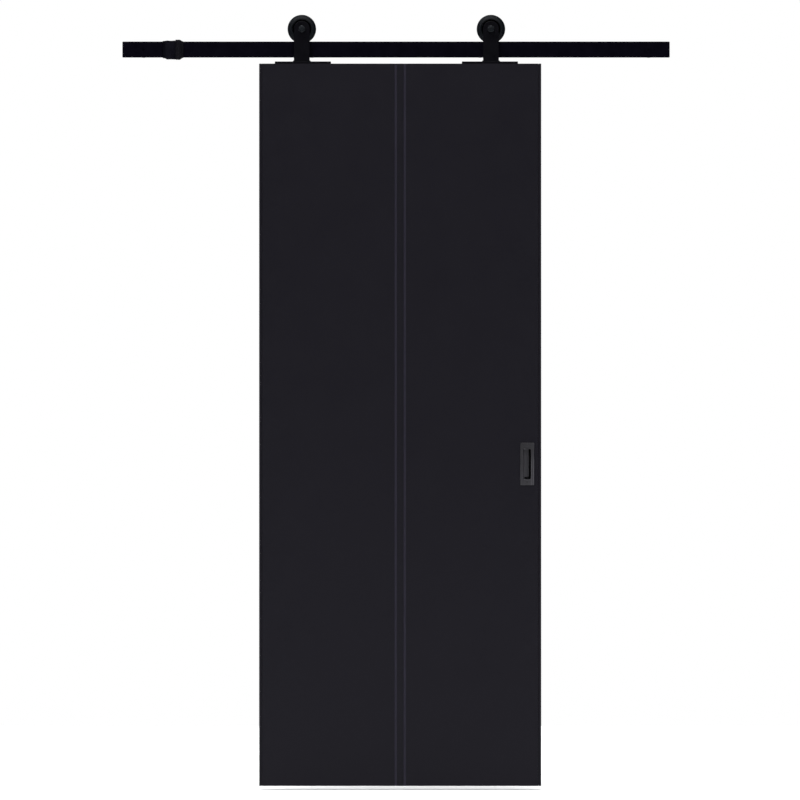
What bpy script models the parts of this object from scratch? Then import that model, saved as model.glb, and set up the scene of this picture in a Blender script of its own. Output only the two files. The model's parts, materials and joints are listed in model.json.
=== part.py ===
"""Sliding door set: a flat steel rail on four wall standoffs, an end stop clamped to the rail,
and a flush door leaf that hangs from two grooved wheels rolling on top of the rail.

Units are metres, +Z is up and +Y points to the wall. X = 0 is the middle of the rail, Y = 0
the middle of its thickness, and Z = 0 the bottom edge of the door leaf.
"""

import math

import bmesh
import bpy

# Clearance left between pieces that touch each other.
GAP = 0.0003
# How far a cutting tool reaches past the face that it enters.
OVERSHOOT = 0.002

# Door leaf.
DOOR_WIDTH = 0.820
DOOR_HEIGHT = 2.100
DOOR_THICKNESS = 0.035
DOOR_CENTRE_X = 0.012
LIPPING_WIDTH = 0.008
SKIN_THICKNESS = 0.006
STILE_WIDTH = 0.090
CROSS_RAIL_HEIGHT = 0.090
DOOR_EDGE_BEVEL = 0.0008

# Two V-grooves run down the middle of each door face.
FACE_GROOVE_SPACING = 0.0265
FACE_GROOVE_WIDTH = 0.007
FACE_GROOVE_FLOOR = 0.002
FACE_GROOVE_DEPTH = 0.0025

# Flush pull: a flanged tray let into the face, with a floor that slopes to its deep side.
PULL_FROM_DOOR_CENTRE = 0.3694
PULL_HEIGHT_ON_DOOR = 0.936
PULL_WIDTH = 0.0404
PULL_LENGTH = 0.1235
PULL_FLANGE = 0.002
PULL_CORNER = 0.0015
RECESS_WIDTH = 0.0218
RECESS_LENGTH = 0.0886
RECESS_CORNER = 0.003
RECESS_SHALLOW = 0.006
RECESS_DEEP = 0.012
TRAY_WALL = 0.0012
TRAY_DEPTH = 0.0135
PULL_SCREW_OFFSET = 0.0535

# Rail.
RAIL_LENGTH = 1.592
RAIL_HEIGHT = 0.0464
RAIL_THICKNESS = 0.006
RAIL_ABOVE_DOOR = 0.0182
RAIL_END_RADIUS = 0.0025
RAIL_BEVEL = 0.0005

# Hangers. Each base plate sits a little nearer to the middle than its strap.
HANGER_CENTRE_X = 0.001
HANGER_SPACING = 0.550
PLATE_INSET = 0.003
STRAP_WIDTH = 0.046
STRAP_THICKNESS = 0.006
STRAP_BEVEL = 0.0008
PLATE_LENGTH = 0.163
PLATE_DEPTH = 0.034
PLATE_THICKNESS = 0.006
PLATE_CORNER = 0.004
PLATE_SCREW_OFFSETS = (-0.066, -0.038, 0.038, 0.066)

# Wheels, in the order from the bore outwards.
HUB_SHOULDER_RADIUS = 0.0135
HUB_RADIUS = 0.0195
RIM_INNER_RADIUS = 0.029
RIM_CREST_RADIUS = 0.0315
RIM_DROP = 0.0028
TREAD_RADIUS = 0.0359
FLANGE_RADIUS = 0.0417
WHEEL_WIDTH = 0.018
WEB_WIDTH = 0.009
TREAD_WIDTH = 0.0074
TREAD_MOUTH_WIDTH = 0.0104
WHEEL_CHAMFER = 0.0012

# Ball bearing with a 10 mm bore, 30 mm outside and 9 mm wide.
BEARING_OUTER_RADIUS = 0.015
BEARING_OUTER_RACE_RADIUS = 0.0122
BEARING_INNER_RACE_RADIUS = 0.008
BEARING_WIDTH = 0.009
RETAINING_RING_INNER_RADIUS = 0.0129
RETAINING_RING_OUTER_RADIUS = 0.0156
RETAINING_RING_WIDTH = 0.0012
RING_GROOVE_PLAY = 0.0009
SEAL_WIDTH = 0.001

# M10 axle bolt, washer, spacers and lock nut.
AXLE_RADIUS = 0.005
AXLE_HEAD_FLATS = 0.017
AXLE_HEAD_HEIGHT = 0.0064
AXLE_END_Y = 0.0215
AXLE_CHAMFER = 0.001
# The round face on a hexagon, as a share of its flats, and the slope of its turned corners.
HEX_FACE_SHARE = 0.95
HEX_CORNER_SLOPE = 0.6
WASHER_RADIUS = 0.010
WASHER_THICKNESS = 0.002
SPACER_RADIUS = 0.0075
REAR_SPACER_LENGTH = 0.005
NUT_HEX_HEIGHT = 0.0075
NUT_HEIGHT = 0.010
NUT_COLLAR_RADIUS = 0.0074

# Standoffs and the M8 countersunk screws that hold the rail to them.
STANDOFF_XS = (-0.735, -0.245, 0.245, 0.735)
STANDOFF_BOSS_RADIUS = 0.011
STANDOFF_FLANGE_RADIUS = 0.023
STANDOFF_FLANGE_THICKNESS = 0.004
STANDOFF_CHAMFER = 0.0008
STANDOFF_THREAD_DEPTH = 0.0155
WALL_HOLE_OFFSET = 0.017
WALL_HOLE_RADIUS = 0.0024

# End stop: a sleeve around the rail with a rubber bumper on the wheel's side.
STOP_LEFT = -0.679
STOP_BODY_RIGHT = -0.6417
STOP_RIGHT = -0.6185
STOP_HALF_DEPTH = 0.0145
STOP_END_HALF_DEPTH = 0.0095
STOP_BOTTOM = 2.1128
STOP_TOP = 2.1674
SPIGOT_LENGTH = 0.010
SPIGOT_HALF_DEPTH = 0.009
SPIGOT_MARGIN = 0.002
STOP_CORNER = 0.0022
STOP_TOE_LENGTH = 0.0035
STOP_TOE_LIP = 0.0015
STOP_SWELL_LENGTH = 0.0145
STOP_CHAMFER = 0.0008
BUMPER_TOP_LIP = 0.0024
BUMPER_BOTTOM_LIP = 0.0008
BUMPER_END_LIP = 0.0016
BUMPER_CORNER = 0.0028
BUMPER_HALF_DEPTH = 0.0155
BUMPER_END_HALF_DEPTH = 0.0105
BUMPER_TAPER_LENGTH = 0.011
GRUB_SCREW_X = -0.65835
GRUB_SCREW_OFFSET = 0.012
GRUB_SCREW_RADIUS = 0.003
GRUB_SCREW_LENGTH = 0.009
GRUB_TIP_SHARE = 0.6
GRUB_SOCKET_DEPTH = 0.0036

# Countersunk screws: head radius, shank radius, head depth.
RAIL_SCREW = (0.0078, 0.0038, 0.0044)
RAIL_SCREW_LENGTH = 0.0195
RAIL_SCREW_SOCKET = 0.005
PLATE_SCREW = (0.0045, 0.0021, 0.0026)
PLATE_SCREW_LENGTH = 0.035
PLATE_SCREW_SOCKET = 0.003
PULL_SCREW = (0.0033, 0.0015, 0.0017)
PULL_SCREW_LENGTH = 0.014
PULL_SCREW_SOCKET = 0.0025
# A screw's rim, its socket's depth and its tip, as shares of its head depth and shank radius.
SCREW_RIM_SHARE = 0.12
SOCKET_DEPTH_SHARE = 0.7
SCREW_TIP_SHARE = 0.4
# Clearance between a screw and its hole, all round.
SCREW_CLEARANCE = 0.00045

# Facets around a turned piece.
WHEEL_SEGMENTS = 36
RING_SEGMENTS = 20
SCREW_SEGMENTS = 10
CORNER_SEGMENTS = 3
ROUND_TOP_SEGMENTS = 20
# Edges sharper than these are bevelled, and shaded as sharp.
BEVEL_ANGLE = math.radians(40)
SHARP_ANGLE = math.radians(35)

# Places that follow from the sizes above.
DOOR_LEFT = DOOR_CENTRE_X - DOOR_WIDTH / 2
DOOR_RIGHT = DOOR_CENTRE_X + DOOR_WIDTH / 2
DOOR_FRONT = -DOOR_THICKNESS / 2
SKIN_LEFT = DOOR_LEFT + LIPPING_WIDTH + GAP
SKIN_RIGHT = DOOR_RIGHT - LIPPING_WIDTH - GAP
FRAME_HALF = DOOR_THICKNESS / 2 - SKIN_THICKNESS - GAP
RAIL_BOTTOM = DOOR_HEIGHT + RAIL_ABOVE_DOOR
RAIL_TOP = RAIL_BOTTOM + RAIL_HEIGHT
RAIL_MIDDLE_Z = (RAIL_BOTTOM + RAIL_TOP) / 2
AXLE_Z = RAIL_TOP + GAP + TREAD_RADIUS
PLATE_TOP = DOOR_HEIGHT + GAP + PLATE_THICKNESS
STRAP_FRONT = -PLATE_DEPTH / 2
STRAP_BACK = STRAP_FRONT + STRAP_THICKNESS
WASHER_FRONT = STRAP_FRONT - GAP - WASHER_THICKNESS
HEAD_BACK = WASHER_FRONT - GAP
# The wall plane is as far behind the rail's middle as the bolt heads are in front of it.
WALL_Y = -(HEAD_BACK - AXLE_HEAD_HEIGHT)
HANGERS = {
    "left": HANGER_CENTRE_X - HANGER_SPACING / 2,
    "right": HANGER_CENTRE_X + HANGER_SPACING / 2,
}
PLATES = {"left": HANGERS["left"] + PLATE_INSET, "right": HANGERS["right"] - PLATE_INSET}

# A turned piece is drawn along +Z: this lays +Z along +Y, or along -Y for a bolt's head.
ALONG_Y = (-math.pi / 2, 0, 0)
TOWARDS_FRONT = (math.pi / 2, 0, 0)
FACING_BACK = (0, 0, math.pi)


# ---------------------------------------------------------------- materials


def material(name, colour, roughness, metallic):
    """Principled material of one colour."""
    made = bpy.data.materials.new(name)
    made.use_nodes = True
    shader = made.node_tree.nodes["Principled BSDF"]
    shader.inputs["Base Color"].default_value = (*colour, 1)
    shader.inputs["Roughness"].default_value = roughness
    shader.inputs["Metallic"].default_value = metallic
    made.diffuse_color = (*colour, 1)
    return made


def make_materials():
    """One material for each kind of finish on the set."""
    return {
        "rail_black": material("rail_black", (0.004, 0.004, 0.006), 0.45, 0.4),
        "hanger_black": material("hanger_black", (0.006, 0.006, 0.009), 0.42, 0.4),
        "wheel_black": material("wheel_black", (0.012, 0.013, 0.016), 0.32, 0.5),
        "bolt_black": material("bolt_black", (0.02, 0.022, 0.025), 0.35, 0.9),
        "bearing_steel": material("bearing_steel", (0.55, 0.55, 0.56), 0.25, 1.0),
        "seal_rubber": material("seal_rubber", (0.012, 0.012, 0.013), 0.6, 0.0),
        "bumper_rubber": material("bumper_rubber", (0.01, 0.01, 0.012), 0.7, 0.0),
        "door_paint": material("door_paint", (0.0144, 0.0137, 0.0176), 0.5, 0.0),
        "door_timber": material("door_timber", (0.5, 0.34, 0.19), 0.7, 0.0),
        "door_core": material("door_core", (0.42, 0.31, 0.2), 0.85, 0.0),
        "pull_grey": material("pull_grey", (0.05, 0.05, 0.055), 0.4, 0.6),
    }


# ---------------------------------------------------------------- mesh building


def mesh_of(bm, name="shape"):
    """Closed mesh from a bmesh, with its faces pointing out."""
    bm.normal_update()
    bmesh.ops.recalc_face_normals(bm, faces=bm.faces)
    mesh = bpy.data.meshes.new(name)
    bm.to_mesh(mesh)
    bm.free()
    return mesh


def box(low, high):
    """Box between two opposite corners."""
    bm = bmesh.new()
    bmesh.ops.create_cube(bm, size=1)
    for vert in bm.verts:
        vert.co = [b if c > 0 else a for a, b, c in zip(low, high, vert.co)]
    return mesh_of(bm)


def prism(outline, low, high, axis):
    """Outline swept along one axis; its points are given in the other two, in X, Y, Z order."""
    bm = bmesh.new()

    def corner(point, level):
        place = list(point)
        place.insert("XYZ".index(axis), level)
        return bm.verts.new(place)

    near = [corner(point, low) for point in outline]
    far = [corner(point, high) for point in outline]
    bm.faces.new(near)
    bm.faces.new(far)
    for i in range(len(outline)):
        j = (i + 1) % len(outline)
        bm.faces.new((near[i], near[j], far[j], far[i]))
    return mesh_of(bm)


def turned(profile, segments):
    """Piece turned about Z from (radius, height) points. A profile that starts and ends on the
    axis is solid there; any other is closed on itself and leaves a bore."""
    bm = bmesh.new()
    rings = []
    for radius, height in profile:
        if radius == 0:
            rings.append([bm.verts.new((0, 0, height))] * segments)
            continue
        loop = []
        for i in range(segments):
            angle = 2 * math.pi * i / segments
            place = (radius * math.cos(angle), radius * math.sin(angle), height)
            loop.append(bm.verts.new(place))
        rings.append(loop)
    pairs = list(zip(rings, rings[1:]))
    if profile[0][0] > 0:
        pairs.append((rings[-1], rings[0]))
    for first, second in pairs:
        for i in range(segments):
            j = (i + 1) % segments
            corners = dict.fromkeys((first[i], first[j], second[j], second[i]))
            bm.faces.new(corners)
    return mesh_of(bm)


def cylinder(radius, low, high, segments):
    """Plain cylinder along Z."""
    return turned([(0, low), (radius, low), (radius, high), (0, high)], segments)


def ring(inner, outer, low, high, segments):
    """Plain ring along Z."""
    return turned([(inner, low), (outer, low), (outer, high), (inner, high)], segments)


def hexagon(across_flats, low, high):
    """Hexagonal prism along Z."""
    radius = across_flats / math.sqrt(3)
    angles = [math.radians(60 * i + 30) for i in range(6)]
    return prism([(radius * math.cos(a), radius * math.sin(a)) for a in angles], low, high, "Z")


def rounded_rectangle(width, height, radius, centre=(0, 0)):
    """Points around a rectangle with round corners."""
    points = []
    for quarter, (sx, sy) in enumerate(((1, 1), (-1, 1), (-1, -1), (1, -1))):
        x = centre[0] + sx * (width / 2 - radius)
        y = centre[1] + sy * (height / 2 - radius)
        for step in range(CORNER_SEGMENTS + 1):
            angle = math.pi / 2 * (quarter + step / CORNER_SEGMENTS)
            points.append((x + radius * math.cos(angle), y + radius * math.sin(angle)))
    return points


def moved(mesh, x=0.0, y=0.0, z=0.0, rotation=(0, 0, 0)):
    """The mesh turned and then moved, for a cutting tool in its target's own space."""
    placer = bpy.data.objects.new("placer", None)
    placer.location = (x, y, z)
    placer.rotation_euler = rotation
    mesh.transform(placer.matrix_basis)
    bpy.data.objects.remove(placer)
    return mesh


def combined(body, tools, operation="DIFFERENCE", bevel=0.0):
    """The body's mesh after an optional bevel of its edges and one Boolean for each tool."""
    collection = bpy.context.scene.collection
    work = bpy.data.objects.new("work", body)
    collection.objects.link(work)
    if bevel:
        rounding = work.modifiers.new("bevel", "BEVEL")
        rounding.width = bevel
        rounding.segments = 1
        rounding.limit_method = "ANGLE"
        rounding.angle_limit = BEVEL_ANGLE
    helpers = []
    for tool in tools:
        helper = bpy.data.objects.new("tool", tool)
        collection.objects.link(helper)
        helpers.append(helper)
        boolean = work.modifiers.new("boolean", "BOOLEAN")
        boolean.operation = operation
        boolean.solver = "EXACT"
        boolean.object = helper
    graph = bpy.context.evaluated_depsgraph_get()
    result = bpy.data.meshes.new_from_object(work.evaluated_get(graph))
    for leftover in (work, *helpers):
        bpy.data.objects.remove(leftover)
    return result


# ---------------------------------------------------------------- placing


def empty(name, location, parent=None):
    """Empty that carries the pieces of one moving body, on its joint's axis."""
    made = bpy.data.objects.new(name, None)
    made.location = location
    made.parent = parent
    bpy.context.scene.collection.objects.link(made)
    return made


def place(name, mesh, finish, parent, location=(0, 0, 0), rotation=(0, 0, 0)):
    """Named piece from a mesh, shaded smooth up to its sharp edges."""
    if not mesh.materials:
        mesh.name = name
        mesh.materials.append(finish)
        mesh.shade_smooth()
        mesh.set_sharp_from_angle(angle=SHARP_ANGLE)
    made = bpy.data.objects.new(name, mesh)
    made.parent = parent
    made.location = location
    made.rotation_euler = rotation
    bpy.context.scene.collection.objects.link(made)
    return made


# ---------------------------------------------------------------- screws


def countersunk_screw(head_radius, radius, head_depth, length, socket_flats):
    """Countersunk screw along -Z, its flat top at Z = 0, with a hexagonal socket."""
    rim = head_depth * SCREW_RIM_SHARE
    profile = [
        (0, 0),
        (head_radius, 0),
        (head_radius, -rim),
        (radius, -head_depth),
        (radius, -length + radius),
        (radius * SCREW_TIP_SHARE, -length),
        (0, -length),
    ]
    socket = hexagon(socket_flats, -head_depth * SOCKET_DEPTH_SHARE, OVERSHOOT)
    return combined(turned(profile, SCREW_SEGMENTS), [socket])


def countersunk_hole(head_radius, radius, head_depth, depth):
    """Tool for the hole that such a screw sits in, with clearance all round."""
    clear = SCREW_CLEARANCE
    rim = head_depth * SCREW_RIM_SHARE
    profile = [
        (0, OVERSHOOT),
        (head_radius + clear, OVERSHOOT),
        (head_radius + clear, -rim),
        (radius + clear, -head_depth),
        (radius + clear, -depth),
        (0, -depth),
    ]
    return turned(profile, SCREW_SEGMENTS)


# ---------------------------------------------------------------- rail and standoffs


def rail_mesh():
    """Flat bar with softened ends and a countersunk hole at each standoff."""
    outline = rounded_rectangle(RAIL_LENGTH, RAIL_HEIGHT, RAIL_END_RADIUS, (0, RAIL_MIDDLE_Z))
    half = RAIL_THICKNESS / 2
    bar = prism(outline, -half, half, "Y")
    holes = [
        moved(
            countersunk_hole(*RAIL_SCREW, RAIL_THICKNESS + OVERSHOOT),
            x=x,
            y=-half,
            z=RAIL_MIDDLE_Z,
            rotation=TOWARDS_FRONT,
        )
        for x in STANDOFF_XS
    ]
    return combined(bar, holes, bevel=RAIL_BEVEL)


def standoff_mesh():
    """Turned boss with a wall flange, a blind thread in front and two wall screw holes. Its
    heights along Z are the distances along Y on the finished set."""
    front = RAIL_THICKNESS / 2 + GAP
    flange = WALL_Y - STANDOFF_FLANGE_THICKNESS
    thread = RAIL_SCREW[1] + SCREW_CLEARANCE
    profile = [
        (0, front + STANDOFF_THREAD_DEPTH),
        (thread, front + STANDOFF_THREAD_DEPTH),
        (thread, front),
        (STANDOFF_BOSS_RADIUS - STANDOFF_CHAMFER, front),
        (STANDOFF_BOSS_RADIUS, front + STANDOFF_CHAMFER),
        (STANDOFF_BOSS_RADIUS, flange),
        (STANDOFF_FLANGE_RADIUS - STANDOFF_CHAMFER, flange),
        (STANDOFF_FLANGE_RADIUS, flange + STANDOFF_CHAMFER),
        (STANDOFF_FLANGE_RADIUS, WALL_Y),
        (0, WALL_Y),
    ]
    half_facet = (0, 0, math.pi / SCREW_SEGMENTS)
    holes = []
    for x in (-WALL_HOLE_OFFSET, WALL_HOLE_OFFSET):
        hole = cylinder(WALL_HOLE_RADIUS, flange - OVERSHOOT, WALL_Y + OVERSHOOT, SCREW_SEGMENTS)
        holes.append(moved(hole, x=x, rotation=half_facet))
    return combined(turned(profile, RING_SEGMENTS), holes)


def make_track(finishes):
    """Rail, standoffs and rail screws."""
    track = empty("track", (0, 0, 0))
    place("rail", rail_mesh(), finishes["rail_black"], track)
    standoff = standoff_mesh()
    screw = countersunk_screw(*RAIL_SCREW, RAIL_SCREW_LENGTH, RAIL_SCREW_SOCKET)
    for number, x in enumerate(STANDOFF_XS, 1):
        centre = (x, 0, RAIL_MIDDLE_Z)
        head = (x, -RAIL_THICKNESS / 2, RAIL_MIDDLE_Z)
        place(f"standoff_{number}", standoff, finishes["rail_black"], track, centre, ALONG_Y)
        place(f"rail_screw_{number}", screw, finishes["rail_black"], track, head, TOWARDS_FRONT)
    return track


# ---------------------------------------------------------------- end stop


def lofted(stations, corner):
    """Closed piece along X through (x, half depth, bottom, top) cross-sections."""
    bm = bmesh.new()
    loops = []
    for x, half, low, high in stations:
        outline = rounded_rectangle(2 * half, high - low, corner, (0, (low + high) / 2))
        loops.append([bm.verts.new((x, y, z)) for y, z in outline])
    for first, second in zip(loops, loops[1:]):
        for i in range(len(first)):
            j = (i + 1) % len(first)
            bm.faces.new((first[i], first[j], second[j], second[i]))
    bm.faces.new(loops[0])
    bm.faces.new(loops[-1])
    return mesh_of(bm)


def rail_slot(left, right):
    """Tool for the slot that the rail passes through."""
    half = RAIL_THICKNESS / 2 + GAP
    low = (left - OVERSHOOT, -half, RAIL_BOTTOM - GAP)
    return box(low, (right + OVERSHOOT, half, RAIL_TOP + GAP))


def stop_sleeve_mesh():
    """Sleeve that rises from a low toe at its outer end to its full height and depth."""
    toe_low = RAIL_BOTTOM - STOP_TOE_LIP
    toe_high = RAIL_TOP + STOP_TOE_LIP
    swell = STOP_LEFT + STOP_SWELL_LENGTH
    edge = STOP_CHAMFER
    stations = (
        (STOP_LEFT, STOP_END_HALF_DEPTH - edge, toe_low + edge, toe_high - edge),
        (STOP_LEFT + edge, STOP_END_HALF_DEPTH, toe_low, toe_high),
        (STOP_LEFT + STOP_TOE_LENGTH, STOP_END_HALF_DEPTH, toe_low, toe_high),
        (swell, STOP_HALF_DEPTH, STOP_BOTTOM, STOP_TOP),
        (STOP_BODY_RIGHT - edge, STOP_HALF_DEPTH, STOP_BOTTOM, STOP_TOP),
        (STOP_BODY_RIGHT, STOP_HALF_DEPTH - edge, STOP_BOTTOM + edge, STOP_TOP - edge),
    )
    return lofted(stations, STOP_CORNER)


def stop_body_mesh():
    """Sleeve around the rail with a spigot for the bumper and two grub screw holes."""
    spigot_low = (STOP_BODY_RIGHT - OVERSHOOT, -SPIGOT_HALF_DEPTH, RAIL_BOTTOM - SPIGOT_MARGIN)
    spigot_right = STOP_BODY_RIGHT + SPIGOT_LENGTH
    spigot = box(spigot_low, (spigot_right, SPIGOT_HALF_DEPTH, RAIL_TOP + SPIGOT_MARGIN))
    sleeve = combined(stop_sleeve_mesh(), [spigot], "UNION")
    holes = [
        moved(
            cylinder(GRUB_SCREW_RADIUS + GAP, 0, STOP_HALF_DEPTH + OVERSHOOT, SCREW_SEGMENTS),
            x=GRUB_SCREW_X,
            z=RAIL_MIDDLE_Z + dz,
            rotation=ALONG_Y,
        )
        for dz in (-GRUB_SCREW_OFFSET, GRUB_SCREW_OFFSET)
    ]
    return combined(sleeve, [rail_slot(STOP_LEFT, spigot_right), *holes])


def grub_screw_mesh():
    """Headless screw along Z with a hexagonal socket in its upper end."""
    tip = GRUB_SCREW_RADIUS * GRUB_TIP_SHARE
    profile = [
        (0, 0),
        (tip, 0),
        (GRUB_SCREW_RADIUS, tip),
        (GRUB_SCREW_RADIUS, GRUB_SCREW_LENGTH),
        (0, GRUB_SCREW_LENGTH),
    ]
    floor = GRUB_SCREW_LENGTH - GRUB_SOCKET_DEPTH
    socket = hexagon(GRUB_SCREW_RADIUS, floor, GRUB_SCREW_LENGTH + OVERSHOOT)
    return combined(turned(profile, SCREW_SEGMENTS), [socket])


def bumper_mesh():
    """Rubber collar around the rail and over the spigot. It tapers almost down to the rail."""
    left = STOP_BODY_RIGHT + GAP
    shoulder = STOP_RIGHT - BUMPER_TAPER_LENGTH
    low = STOP_BOTTOM - BUMPER_BOTTOM_LIP
    high = STOP_TOP + BUMPER_TOP_LIP
    end_low = RAIL_BOTTOM - BUMPER_END_LIP
    end_high = RAIL_TOP + BUMPER_END_LIP
    stations = (
        (left, BUMPER_HALF_DEPTH, low, high),
        (shoulder, BUMPER_HALF_DEPTH, low, high),
        (STOP_RIGHT, BUMPER_END_HALF_DEPTH, end_low, end_high),
    )
    inner = SPIGOT_MARGIN + GAP
    rebate_low = (left - OVERSHOOT, -SPIGOT_HALF_DEPTH - GAP, RAIL_BOTTOM - inner)
    rebate_right = STOP_BODY_RIGHT + SPIGOT_LENGTH + GAP
    rebate = box(rebate_low, (rebate_right, SPIGOT_HALF_DEPTH + GAP, RAIL_TOP + inner))
    return combined(lofted(stations, BUMPER_CORNER), [rebate, rail_slot(left, STOP_RIGHT)])


def make_stop(finishes, track):
    """End stop with its bumper and grub screws."""
    place("stop_body", stop_body_mesh(), finishes["hanger_black"], track)
    place("stop_bumper", bumper_mesh(), finishes["bumper_rubber"], track)
    screw = grub_screw_mesh()
    tip_y = RAIL_THICKNESS / 2 + GAP
    for number, dz in enumerate((GRUB_SCREW_OFFSET, -GRUB_SCREW_OFFSET), 1):
        centre = (GRUB_SCREW_X, tip_y, RAIL_MIDDLE_Z + dz)
        place(f"stop_grub_screw_{number}", screw, finishes["bolt_black"], track, centre, ALONG_Y)


# ---------------------------------------------------------------- door leaf


def skin_outline():
    """Plan outline of a door skin: a flat back, and a face with two V-grooves."""
    face = []
    for side in (-1, 1):
        centre = DOOR_CENTRE_X + side * FACE_GROOVE_SPACING / 2
        floor_y = DOOR_FRONT + FACE_GROOVE_DEPTH
        face += [
            (centre - FACE_GROOVE_WIDTH / 2, DOOR_FRONT),
            (centre - FACE_GROOVE_FLOOR / 2, floor_y),
            (centre + FACE_GROOVE_FLOOR / 2, floor_y),
            (centre + FACE_GROOVE_WIDTH / 2, DOOR_FRONT),
        ]
    back = DOOR_FRONT + SKIN_THICKNESS
    rear = [(SKIN_RIGHT, back), (SKIN_LEFT, back)]
    return [(SKIN_LEFT, DOOR_FRONT), *face, (SKIN_RIGHT, DOOR_FRONT), *rear]


def tray_prism(grow, low, high):
    """The pull tray's outer shape, grown by a clearance, between two depths."""
    width = RECESS_WIDTH + 2 * (TRAY_WALL + grow)
    length = RECESS_LENGTH + 2 * (TRAY_WALL + grow)
    return prism(rounded_rectangle(width, length, RECESS_CORNER + TRAY_WALL), low, high, "Y")


def pull_mortise(low, high):
    """Tools, in a door piece's own space, for the pull's tray and its two screws."""
    x = DOOR_CENTRE_X + PULL_FROM_DOOR_CENTRE
    tools = [moved(tray_prism(GAP, low, high), x=x, z=PULL_HEIGHT_ON_DOOR)]
    for dz in (-PULL_SCREW_OFFSET, PULL_SCREW_OFFSET):
        pilot = cylinder(PULL_SCREW[1] + GAP, low, high, SCREW_SEGMENTS)
        tools.append(moved(pilot, x=x, z=PULL_HEIGHT_ON_DOOR + dz, rotation=ALONG_Y))
    return tools


def skin_mesh():
    """Front skin with its grooves and mortise. The back skin is this one mirrored."""
    plain = prism(skin_outline(), 0, DOOR_HEIGHT, "Z")
    back = DOOR_FRONT + SKIN_THICKNESS
    return combined(plain, pull_mortise(DOOR_FRONT - OVERSHOOT, back + OVERSHOOT))


def mirrored_front_to_back(mesh):
    """Copy of a mesh on the other side of the plane Y = 0, with its faces still pointing out."""
    bm = bmesh.new()
    bm.from_mesh(mesh)
    for vert in bm.verts:
        vert.co.y = -vert.co.y
    return mesh_of(bm)


def pull_stile_mesh():
    """Right stile with a pocket for the pull on each face."""
    low = (SKIN_RIGHT - STILE_WIDTH, -FRAME_HALF, CROSS_RAIL_HEIGHT + GAP)
    stile = box(low, (SKIN_RIGHT, FRAME_HALF, DOOR_HEIGHT - CROSS_RAIL_HEIGHT - GAP))
    depth = TRAY_DEPTH + GAP
    front = pull_mortise(DOOR_FRONT, DOOR_FRONT + depth)
    back = pull_mortise(-DOOR_FRONT - depth, -DOOR_FRONT)
    return combined(stile, [*front, *back])


def top_rail_mesh():
    """Top rail of the leaf with pilot holes for the base plate screws."""
    low = (SKIN_LEFT, -FRAME_HALF, DOOR_HEIGHT - CROSS_RAIL_HEIGHT)
    plain = box(low, (SKIN_RIGHT, FRAME_HALF, DOOR_HEIGHT))
    depth = PLATE_SCREW_LENGTH - PLATE_THICKNESS + OVERSHOOT
    pilots = [
        moved(
            cylinder(PLATE_SCREW[1] + GAP, -depth, OVERSHOOT, SCREW_SEGMENTS),
            x=plate_x + offset,
            z=DOOR_HEIGHT,
        )
        for plate_x in PLATES.values()
        for offset in PLATE_SCREW_OFFSETS
    ]
    return combined(plain, pilots)


def make_leaf(finishes, carriage):
    """Door leaf: timber frame, core, two skins and two edge lippings."""
    paint = finishes["door_paint"]
    timber = finishes["door_timber"]
    skin = skin_mesh()
    place("front_skin", skin, paint, carriage)
    place("back_skin", mirrored_front_to_back(skin), paint, carriage)
    for side, left in (("left", DOOR_LEFT), ("right", DOOR_RIGHT - LIPPING_WIDTH)):
        low = (left, DOOR_FRONT, 0)
        strip = box(low, (left + LIPPING_WIDTH, -DOOR_FRONT, DOOR_HEIGHT))
        place(f"edge_lipping_{side}", combined(strip, [], bevel=DOOR_EDGE_BEVEL), paint, carriage)
    stile_low = (SKIN_LEFT, -FRAME_HALF, CROSS_RAIL_HEIGHT + GAP)
    stile_high = (SKIN_LEFT + STILE_WIDTH, FRAME_HALF, DOOR_HEIGHT - CROSS_RAIL_HEIGHT - GAP)
    place("stile_left", box(stile_low, stile_high), timber, carriage)
    place("stile_right", pull_stile_mesh(), timber, carriage)
    place("top_rail", top_rail_mesh(), timber, carriage)
    bottom_low = (SKIN_LEFT, -FRAME_HALF, 0)
    bottom_high = (SKIN_RIGHT, FRAME_HALF, CROSS_RAIL_HEIGHT)
    place("bottom_rail", box(bottom_low, bottom_high), timber, carriage)
    core_low = (SKIN_LEFT + STILE_WIDTH + GAP, -FRAME_HALF, CROSS_RAIL_HEIGHT + GAP)
    core_right = SKIN_RIGHT - STILE_WIDTH - GAP
    core_high = (core_right, FRAME_HALF, DOOR_HEIGHT - CROSS_RAIL_HEIGHT - GAP)
    place("core_panel", box(core_low, core_high), finishes["door_core"], carriage)


# ---------------------------------------------------------------- flush pulls


def recess_tool():
    """Rounded recess whose floor slopes from its shallow to its deep side."""
    outline = rounded_rectangle(RECESS_WIDTH, RECESS_LENGTH, RECESS_CORNER)
    slope = (RECESS_DEEP - RECESS_SHALLOW) / RECESS_WIDTH
    middle = (RECESS_DEEP + RECESS_SHALLOW) / 2
    mesh = prism(outline, -PULL_FLANGE - OVERSHOOT, middle, "Y")
    for vert in mesh.vertices:
        if vert.co.y > 0:
            vert.co.y = middle + slope * vert.co.x
    return mesh


def pull_mesh():
    """Flush pull in its own space: Y = 0 is the door's face, +Y goes into the door."""
    flange_outline = rounded_rectangle(PULL_WIDTH, PULL_LENGTH, PULL_CORNER)
    flange = prism(flange_outline, -GAP - PULL_FLANGE, -GAP, "Y")
    flange = combined(flange, [], bevel=GAP)
    body = combined(flange, [tray_prism(0, -GAP - PULL_FLANGE / 2, TRAY_DEPTH)], "UNION")
    tools = [recess_tool()]
    for dz in (-PULL_SCREW_OFFSET, PULL_SCREW_OFFSET):
        hole = countersunk_hole(*PULL_SCREW, PULL_FLANGE + OVERSHOOT)
        tools.append(moved(hole, y=-GAP - PULL_FLANGE, z=dz, rotation=TOWARDS_FRONT))
    return combined(body, tools)


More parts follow.
